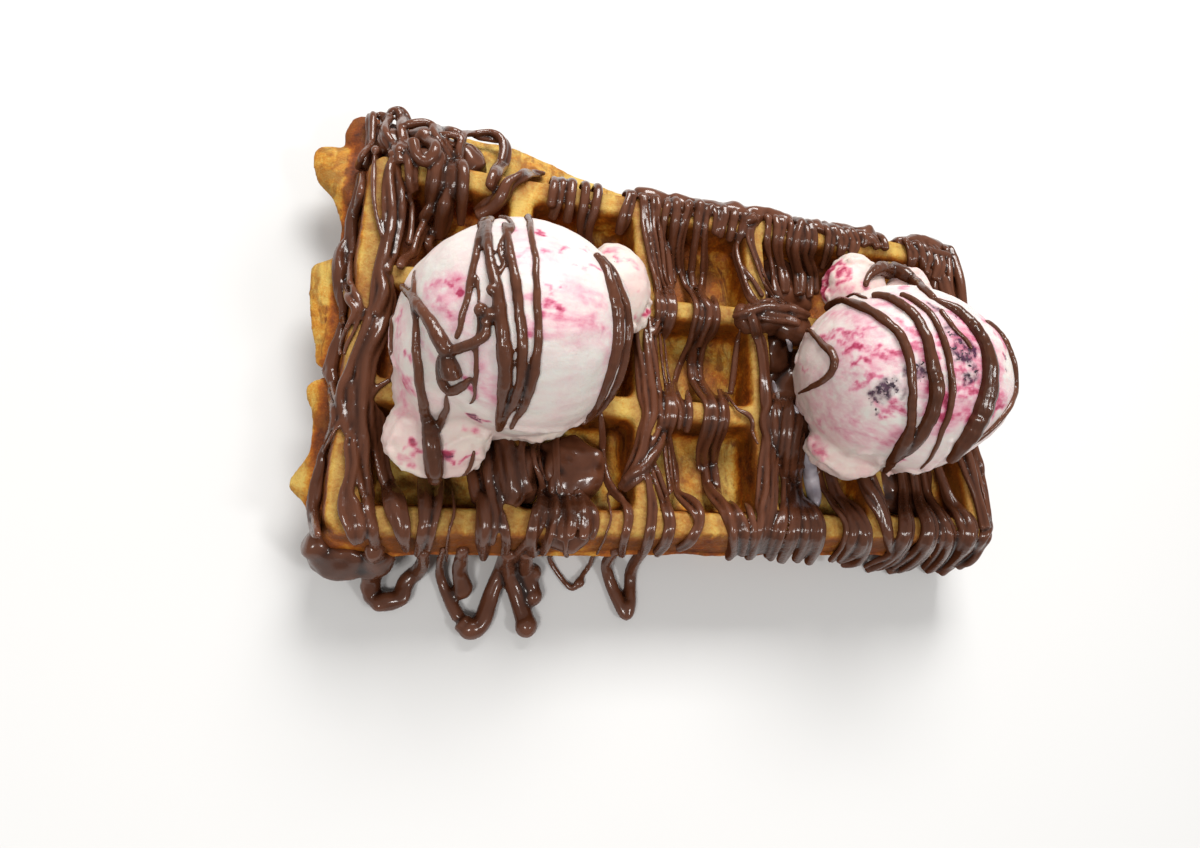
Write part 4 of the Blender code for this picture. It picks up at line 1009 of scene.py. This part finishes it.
def paintCream(cream, scoop, tree):
    # berry streaks and dark spots, where the photograph shows them
    lines = []
    for start, end, half, amount in scoop["streaks"]:
        first, _, width = onMesh(tree, *start, half)
        lines.append((first, onMesh(tree, *end, half)[0], width, amount))
    spots = [onMesh(tree, *spot) for spot in scoop["berries"]]
    (broad, far), (narrow, little) = iceCream["blur"]
    full, fade = iceCream["streak"]
    dark, berry = [], []
    for vert in cream.data.vertices:
        value = 0.0
        probe = vert.co + noise.noise_vector(vert.co / broad) * far + noise.noise_vector(vert.co / narrow) * little
        for first, last, width, amount in lines:
            value = max(value, amount * clamp(full - fade * distanceToLine(probe, first, last) / width))
        berry.append(clamp(value + scoop["blush"]))
        reach = iceCream["darkSpot"]
        dark.append(max(clamp(reach - (probe - spot).length / (half * reach)) for spot, _, half in spots))
    paint(cream, "dark", dark)
    paint(cream, "berry", berry)


def scoopIceCream(scoop, material):
    cream = shapeCream(scoop)
    tree = treeOf(cream)
    paintCream(cream, scoop, tree)
    finishPiece(cream, material, scoop["name"])
    return tree


def pourOverScoop(scoop, tree, material):
    paths = []
    for points in scoop["strands"]:
        path = []
        for u, v, half in blendPoints(points, overScoop["steps"]):
            spot, normal, radius = onMesh(tree, u, v, half)
            radius = (radius + overScoop["thicker"]) * random.uniform(*overScoop["uneven"])
            path.append((*(spot + normal * radius * overScoop["lift"]), radius))
        paths.append(roundEnds(smoothHeights(path, overScoop["smoothPath"])))
    parts = [tubes(paths, "over")]
    for knot in scoop["knots"]:
        spot, normal, radius = onMesh(tree, *knot)
        parts.append(ball(spot + normal * radius * overScoop["knotLift"], (radius,) * 3, overScoop["knotLevel"]))
    piece = remesh(joinAll(parts, "chocolate_" + scoop["name"]), overScoop["voxel"], overScoop["smooth"])
    roughen(piece, overScoop["grain"])
    finishPiece(piece, material, scoop["name"])


def dropBerries(scoop, tree, material):
    parts = []
    for berry in scoop["berries"]:
        spot, _, radius = onMesh(tree, *berry)
        for _ in range(berryBits["each"]):
            shift = Vector((random.uniform(-1, 1), random.uniform(-1, 1), random.uniform(-1, 1)))
            size = radius * random.uniform(*berryBits["size"])
            near, facing, _, _ = tree.find_nearest(spot + shift * radius * berryBits["spread"])
            half = (size, *(size * share for share in berryBits["flat"]))
            parts.append(ball(near - facing * size * berryBits["sink"], half, berryBits["level"]))
    piece = remesh(joinAll(parts, "berries_" + scoop["name"]), berryBits["voxel"], berryBits["smooth"])
    roughen(piece, berryBits["grain"])
    finishPiece(piece, material, scoop["name"])


# cream that ran down beside the right scoop, and three small pale patches beside it that are painted reflections of
# light on the chocolate pool
meltedCreamAndGlints = {
    "voxel": 0.4, "smooth": 3, "steps": 5, "slope": 1.6, "share": 0.3, "lift": 0.9, "smoothPath": 8,
    "grain": ((5.0, 0.4, 0.0),),
    "dripsAndGlints": (
        ((805, 446, 5), (806, 460, 6.5), (808, 476, 7.5), (811, 492, 7.5), (814, 506, 6)),
        # painted reflections: small pale patches where light glints on the pooled chocolate
        ((785, 340, 1.5), (788, 346, 2.8), (790, 353, 2)), ((771, 382, 1.5), (774, 390, 2.6), (776, 398, 1.5)),
        ((786, 404, 2), (791, 409, 3.4), (796, 415, 2.5)),
    ),
}


def dripCreamAndGlints(material):
    paths = []
    for points in meltedCreamAndGlints["dripsAndGlints"]:
        path = []
        for u, v, half in blendPoints(points, meltedCreamAndGlints["steps"]):
            spot = onWaffle(u, v, meltedCreamAndGlints["slope"])
            radius = half * pixelSize(spot)
            path.append((spot.x, spot.y, spot.z + radius * meltedCreamAndGlints["share"] + meltedCreamAndGlints["lift"], radius))
        paths.append(roundEnds(smoothHeights(path, meltedCreamAndGlints["smoothPath"])))
    piece = remesh(tubes(paths, "melted_cream_and_glints"), meltedCreamAndGlints["voxel"], meltedCreamAndGlints["smooth"])
    roughen(piece, meltedCreamAndGlints["grain"])
    finishPiece(piece, material, "waffle")


def newMaterial(name, finish):
    material = bpy.data.materials.new(name)
    material.use_nodes = True
    tree = material.node_tree
    shader = tree.nodes["Principled BSDF"]
    for socket, value in finish.items():
        shader.inputs[socket].default_value = value
    return material, tree, shader


def plug(tree, socket, value):
    # a number, a colour or what another node gives
    if isinstance(value, (int, float)):
        socket.default_value = value
    elif isinstance(value, tuple):
        socket.default_value = (*value, 1.0)
    else:
        tree.links.new(value, socket)


def objectCoords(tree):
    return tree.nodes.new("ShaderNodeTexCoord").outputs["Object"]


def stretchNode(tree, coords, scale):
    node = tree.nodes.new("ShaderNodeMapping")
    node.inputs["Scale"].default_value = scale
    tree.links.new(coords, node.inputs["Vector"])
    return node.outputs["Vector"]


def attributeNode(tree, name):
    node = tree.nodes.new("ShaderNodeAttribute")
    node.attribute_name = name
    return node.outputs["Fac"]


def noiseNode(tree, coords, scale, detail=4.0, rough=0.55, twist=0.0):
    node = tree.nodes.new("ShaderNodeTexNoise")
    for name, value in (("Scale", scale), ("Detail", detail), ("Roughness", rough), ("Distortion", twist)):
        node.inputs[name].default_value = value
    tree.links.new(coords, node.inputs["Vector"])
    return node.outputs["Fac"]


def mathNode(tree, kind, first, second, clampIt=False):
    node = tree.nodes.new("ShaderNodeMath")
    node.operation = kind
    node.use_clamp = clampIt
    plug(tree, node.inputs[0], first)
    plug(tree, node.inputs[1], second)
    return node.outputs[0]


def add(tree, first, second, clampIt=False):
    return mathNode(tree, "ADD", first, second, clampIt)


def times(tree, first, second, clampIt=False):
    return mathNode(tree, "MULTIPLY", first, second, clampIt)


def above(tree, source, start, gain, clampIt=False):
    return times(tree, mathNode(tree, "SUBTRACT", source, start), gain, clampIt)


def below(tree, source, start, gain):
    return times(tree, mathNode(tree, "SUBTRACT", start, source), gain, True)


def rampNode(tree, source, stops):
    node = tree.nodes.new("ShaderNodeValToRGB")
    ramp = node.color_ramp
    while len(ramp.elements) < len(stops):
        ramp.elements.new(0.5)
    for element, (place, colour) in zip(ramp.elements, stops):
        element.position = place
        element.color = (*colour, 1.0)
    tree.links.new(source, node.inputs["Fac"])
    return node.outputs["Color"]


def mixNode(tree, factor, first, second, kind="MIX"):
    node = tree.nodes.new("ShaderNodeMix")
    node.data_type = "RGBA"
    node.blend_type = kind
    plug(tree, node.inputs["Factor"], factor)
    plug(tree, node.inputs[6], first)
    plug(tree, node.inputs[7], second)
    return node.outputs[2]


def bumpNode(tree, shader, height, strength, distance):
    node = tree.nodes.new("ShaderNodeBump")
    node.inputs["Strength"].default_value = strength
    node.inputs["Distance"].default_value = distance
    tree.links.new(height, node.inputs["Height"])
    tree.links.new(node.outputs["Normal"], shader.inputs["Normal"])


def glossFromAbove(tree, shader, names):
    # faces that look down at the floor shine less, so that they keep their own colour
    facing = tree.nodes.new("ShaderNodeSeparateXYZ")
    tree.links.new(tree.nodes.new("ShaderNodeTexCoord").outputs["Normal"], facing.inputs[0])
    share = times(tree, add(tree, facing.outputs["Z"], 0.05), 1.8, True)
    for name in names:
        socket = shader.inputs[name]
        tree.links.new(times(tree, share, socket.default_value), socket)


# noises have a scale per metre, a detail, a roughness and a twist; relief is in metres
chocolateLook = {
    "milk": ((0.3, (0.054, 0.0165, 0.007)), (0.7, (0.104, 0.034, 0.016))),
    "thin": ((0.3, (0.046, 0.0135, 0.005)), (0.7, (0.080, 0.025, 0.011))),
    # colours of the painted shade in the gaps and of the painted highlight on the crests
    "gap": (0.016, 0.0045, 0.002), "crestHighlight": (0.140, 0.052, 0.028),
    "broad": (60.0, 3.0), "fine": (420.0, 3.0), "lines": (1250.0, 2.0), "along": (1.0, 0.10, 0.3),
    "lined": 0.8, "bump": 0.3, "relief": 0.0009,
    "finish": {"Roughness": 0.2, "IOR": 1.45, "Coat Roughness": 0.05, "Specular IOR Level": 0.36, "Coat Weight": 0.22},
}
crustLook = {
    "colours": (
        (0.0, (0.54, 0.365, 0.085)), (0.22, (0.48, 0.215, 0.024)), (0.45, (0.335, 0.088, 0.005)),
        (0.68, (0.17, 0.036, 0.003)), (1.0, (0.055, 0.011, 0.002)),
    ),
    "syrup": (0.16, 0.045, 0.004), "soaked": (0.19, 0.060, 0.010),
    "broad": (75.0, 5.0, 0.6), "fine": (480.0, 5.0, 0.65), "grain": (1500.0, 3.0, 0.6),
    "streak": (210.0, 4.0, 0.6, 1.6), "patch": (38.0, 2.0), "along": (1.0, 0.4, 0.7), "bump": 0.6, "relief": 0.0010,
    "finish": {
        "Roughness": 0.6, "Specular IOR Level": 0.25, "Subsurface Weight": 0.12,
        "Subsurface Radius": (0.004, 0.002, 0.0008), "Subsurface Scale": 1.0,
    },
}
creamLook = {
    "colours": (
        (0.0, (0.645, 0.62, 0.58)), (0.08, (0.65, 0.55, 0.535)), (0.28, (0.63, 0.37, 0.42)),
        (0.55, (0.54, 0.155, 0.24)), (0.9, (0.33, 0.03, 0.08)),
    ),
    # the warm tint and its height below are a painted shade low on the scoops
    "bits": (0.42, 0.05, 0.12), "beigeShade": (0.98, 0.84, 0.77), "beigeShadeBelow": 0.066, "dark": (0.055, 0.012, 0.04),
    "broad": (110.0, 5.0, 0.65), "fine": (520.0, 4.0, 0.6), "lines": (620.0, 3.0), "along": (0.22, 1.0, 1.0),
    "bump": 0.3, "relief": 0.0012,
    "finish": {
        "Roughness": 0.48, "Specular IOR Level": 0.35, "Subsurface Weight": 0.25,
        "Subsurface Radius": (0.004, 0.0028, 0.0022), "Subsurface Scale": 1.0,
    },
}
berryLook = {
    "colours": ((0.35, (0.012, 0.004, 0.012)), (0.6, (0.035, 0.009, 0.026)), (0.75, (0.12, 0.05, 0.09))),
    "pattern": (700.0, 4.0), "bump": 0.5, "relief": 0.0008, "finish": {"Roughness": 0.42},
}
# the pale lilac grey of the cream drip and of the painted reflections on the chocolate pool
meltedAndGlintLook = {
    "colours": ((0.35, (0.34, 0.31, 0.36)), (0.7, (0.55, 0.50, 0.53))),
    "pattern": (150.0, 3.0), "bump": 0.2, "relief": 0.0008,
    "finish": {
        "Roughness": 0.2, "Subsurface Weight": 0.2, "Subsurface Radius": (0.003, 0.002, 0.002), "Subsurface Scale": 1.0,
    },
}


def chocolateMaterial(name, colours, lined):
    look = chocolateLook
    material, tree, shader = newMaterial(name, look["finish"])
    coords = objectCoords(tree)
    broad = noiseNode(tree, coords, *look["broad"])
    fine = noiseNode(tree, coords, *look["fine"])
    crevice = attributeNode(tree, "crevice")
    colour = rampNode(tree, broad, look[colours])
    # painted shade in the gaps between the strands and a painted highlight on their crests
    colour = mixNode(tree, above(tree, crevice, 0.42, 2.4, True), colour, look["gap"])
    colour = mixNode(tree, below(tree, crevice, 0.34, 1.6), colour, look["crestHighlight"])
    tree.links.new(colour, shader.inputs["Base Color"])
    glossFromAbove(tree, shader, ("Specular IOR Level", "Coat Weight"))
    # fine lines along the pour
    lines = noiseNode(tree, stretchNode(tree, coords, look["along"]), *look["lines"])
    height = add(tree, add(tree, broad, times(tree, fine, 0.25)), times(tree, lines, lined))
    bumpNode(tree, shader, height, look["bump"], look["relief"])
    return material


def crustMaterial():
    look = crustLook
    material, tree, shader = newMaterial("waffle_crust", look["finish"])
    coords = objectCoords(tree)
    # how brown the crust is, which also carries painted shade on the pocket walls
    bakedAndShade = attributeNode(tree, "bakedAndShade")
    stain = attributeNode(tree, "stain")
    broad, fine, grain, patch = (noiseNode(tree, coords, *look[name]) for name in ("broad", "fine", "grain", "patch"))
    vary = times(tree, above(tree, broad, 0.5, 2.2), add(tree, bakedAndShade, 0.35))
    speck = add(tree, above(tree, fine, 0.5, 0.6), above(tree, grain, 0.5, 0.45))
    amount = add(tree, add(tree, bakedAndShade, vary), speck, True)
    colour = rampNode(tree, amount, look["colours"])
    # darker amber streaks where syrup soaked in
    streak = noiseNode(tree, stretchNode(tree, coords, look["along"]), *look["streak"])
    syrup = times(tree, above(tree, streak, 0.48, 8.0, True), above(tree, patch, 0.34, 5.0, True))
    syrup = times(tree, syrup, times(tree, bakedAndShade, 5.0, True), True)
    colour = mixNode(tree, syrup, colour, look["syrup"])
    soaked = times(tree, stain, add(tree, times(tree, fine, 1.1), 0.1), True)
    colour = mixNode(tree, soaked, colour, look["soaked"])
    tree.links.new(colour, shader.inputs["Base Color"])
    glossFromAbove(tree, shader, ("Specular IOR Level",))
    height = add(tree, times(tree, fine, 0.6), times(tree, grain, 0.4))
    bumpNode(tree, shader, height, look["bump"], look["relief"])
    return material


def creamMaterial():
    look = creamLook
    material, tree, shader = newMaterial("berry_ice_cream", look["finish"])
    coords = objectCoords(tree)
    berry = attributeNode(tree, "berry")
    broad = noiseNode(tree, coords, *look["broad"])
    fine = noiseNode(tree, coords, *look["fine"])
    lines = noiseNode(tree, stretchNode(tree, coords, look["along"]), *look["lines"])
    vary = add(tree, above(tree, broad, 0.47, 1.9), above(tree, lines, 0.5, 2.6))
    vary = add(tree, add(tree, vary, 0.8), above(tree, fine, 0.5, 0.9))
    amount = times(tree, berry, vary, True)
    blush = add(tree, amount, above(tree, broad, 0.5, 0.28), True)
    colour = rampNode(tree, blush, look["colours"])
    ripe = mathNode(tree, "SUBTRACT", times(tree, berry, 1.5), 0.45)
    bits = times(tree, above(tree, fine, 0.54, 9.0, True), ripe, True)
    colour = mixNode(tree, bits, colour, look["bits"])
    # painted warm shade, darker and warmer lower down on the scoops
    place = tree.nodes.new("ShaderNodeSeparateXYZ")
    tree.links.new(coords, place.inputs[0])
    low = below(tree, place.outputs["Z"], look["beigeShadeBelow"], 26.0)
    colour = mixNode(tree, 1.0, colour, mixNode(tree, low, (1.0, 1.0, 1.0), look["beigeShade"]), "MULTIPLY")
    grainy = add(tree, above(tree, fine, 0.42, 3.5), 0.55)
    colour = mixNode(tree, times(tree, attributeNode(tree, "dark"), grainy, True), colour, look["dark"])
    tree.links.new(colour, shader.inputs["Base Color"])
    bumpNode(tree, shader, add(tree, broad, times(tree, fine, 0.35)), look["bump"], look["relief"])
    return material


def plainMaterial(name, look):
    # one noise gives both the colours and the bump
    material, tree, shader = newMaterial(name, look["finish"])
    pattern = noiseNode(tree, objectCoords(tree), *look["pattern"])
    tree.links.new(rampNode(tree, pattern, look["colours"]), shader.inputs["Base Color"])
    bumpNode(tree, shader, pattern, look["bump"], look["relief"])
    return material


studio = {
    "world": {"Color": (1.0, 0.985, 0.96, 1.0), "Strength": 0.39},
    "floor": {"Base Color": (0.62, 0.62, 0.62, 1.0), "Roughness": 0.8}, "floorHalf": 1.5, "floorDrop": 0.0002,
    # name, place, what it points at, size, power and colour
    "lights": (
        ("window", (0.05, 0.56, 0.64), (0, 0, 0.02), (0.42, 0.3), 8.4, (1.0, 0.99, 0.97)),
        ("fill", (-0.30, -0.30, 0.72), (0, 0, 0.02), (0.17, 0.17), 2.6, (1.0, 0.98, 0.95)),
        ("spark", (0.40, -0.30, 0.66), (0.04, 0, 0.02), (0.12, 0.12), 1.6, (1.0, 0.99, 0.98)),
    ),
}


def setCamera():
    cam = photoCamera
    wide, high = cam["size"]
    data = bpy.data.cameras.new("photo_camera")
    data.sensor_width = cam["sensor"]
    data.lens = cam["focal"] / wide * cam["sensor"]
    data.shift_x = (wide / 2 - cam["centre"][0]) / wide
    data.shift_y = (cam["centre"][1] - high / 2) / wide
    data.clip_start = millimetre
    obj = linkNew("photo_camera", data)
    turn = Matrix((cam["right"], cam["up"], -cam["ahead"])).transposed()
    obj.matrix_world = Matrix.Translation((cam["place"] - outlineMiddle) * millimetre) @ turn.to_4x4()
    bpy.context.scene.camera = obj


def lightScene():
    bpy.context.scene.view_settings.view_transform = "Standard"
    world = bpy.data.worlds.new("studio")
    bpy.context.scene.world = world
    world.use_nodes = True
    for name, value in studio["world"].items():
        world.node_tree.nodes["Background"].inputs[name].default_value = value
    for name, place, target, size, power, colour in studio["lights"]:
        data = bpy.data.lights.new(name, "AREA")
        data.shape = "RECTANGLE"
        data.size, data.size_y = size
        data.energy = power
        data.color = colour
        obj = linkNew(name, data)
        obj.location = place
        obj.rotation_euler = (Vector(target) - Vector(place)).to_track_quat("-Z", "Y").to_euler()


def layFloor():
    bm = bmesh.new()
    bmesh.ops.create_grid(bm, x_segments=2, y_segments=2, size=studio["floorHalf"])
    floor = newObject(bm, "floor")
    floor.data.materials.append(newMaterial("floor_white", studio["floor"])[0])
    floor.location.z = -studio["floorDrop"]


chocolate = chocolateMaterial("milk_chocolate", "milk", chocolateLook["lined"])
pooledChocolate = chocolateMaterial("pooled_chocolate", "milk", 0.0)
thinChocolate = chocolateMaterial("thin_chocolate", "thin", chocolateLook["lined"])
crust = crustMaterial()
cream = creamMaterial()
setCamera()
lightScene()
layFloor()
print("stage: camera, light and floor")
flashTree = squeezeFlash(crust)
strandPoints = pourChocolate(chocolate)
print("stage: chocolate on the waffle")
runOff(pooledChocolate)
poolChocolate(pooledChocolate)
print("stage: chocolate pools and spills")
bakeWaffle(crust, strandPoints)
print("stage: waffle")
leftTree = scoopIceCream(leftScoop, cream)
pourOverScoop(leftScoop, leftTree, thinChocolate)
rightTree = scoopIceCream(rightScoop, cream)
pourOverScoop(rightScoop, rightTree, thinChocolate)
darkBerry = plainMaterial("dark_berry", berryLook)
dropBerries(leftScoop, leftTree, darkBerry)
dropBerries(rightScoop, rightTree, darkBerry)
dripCreamAndGlints(plainMaterial("melted_cream_and_glints", meltedAndGlintLook))
print("stage: ice cream")
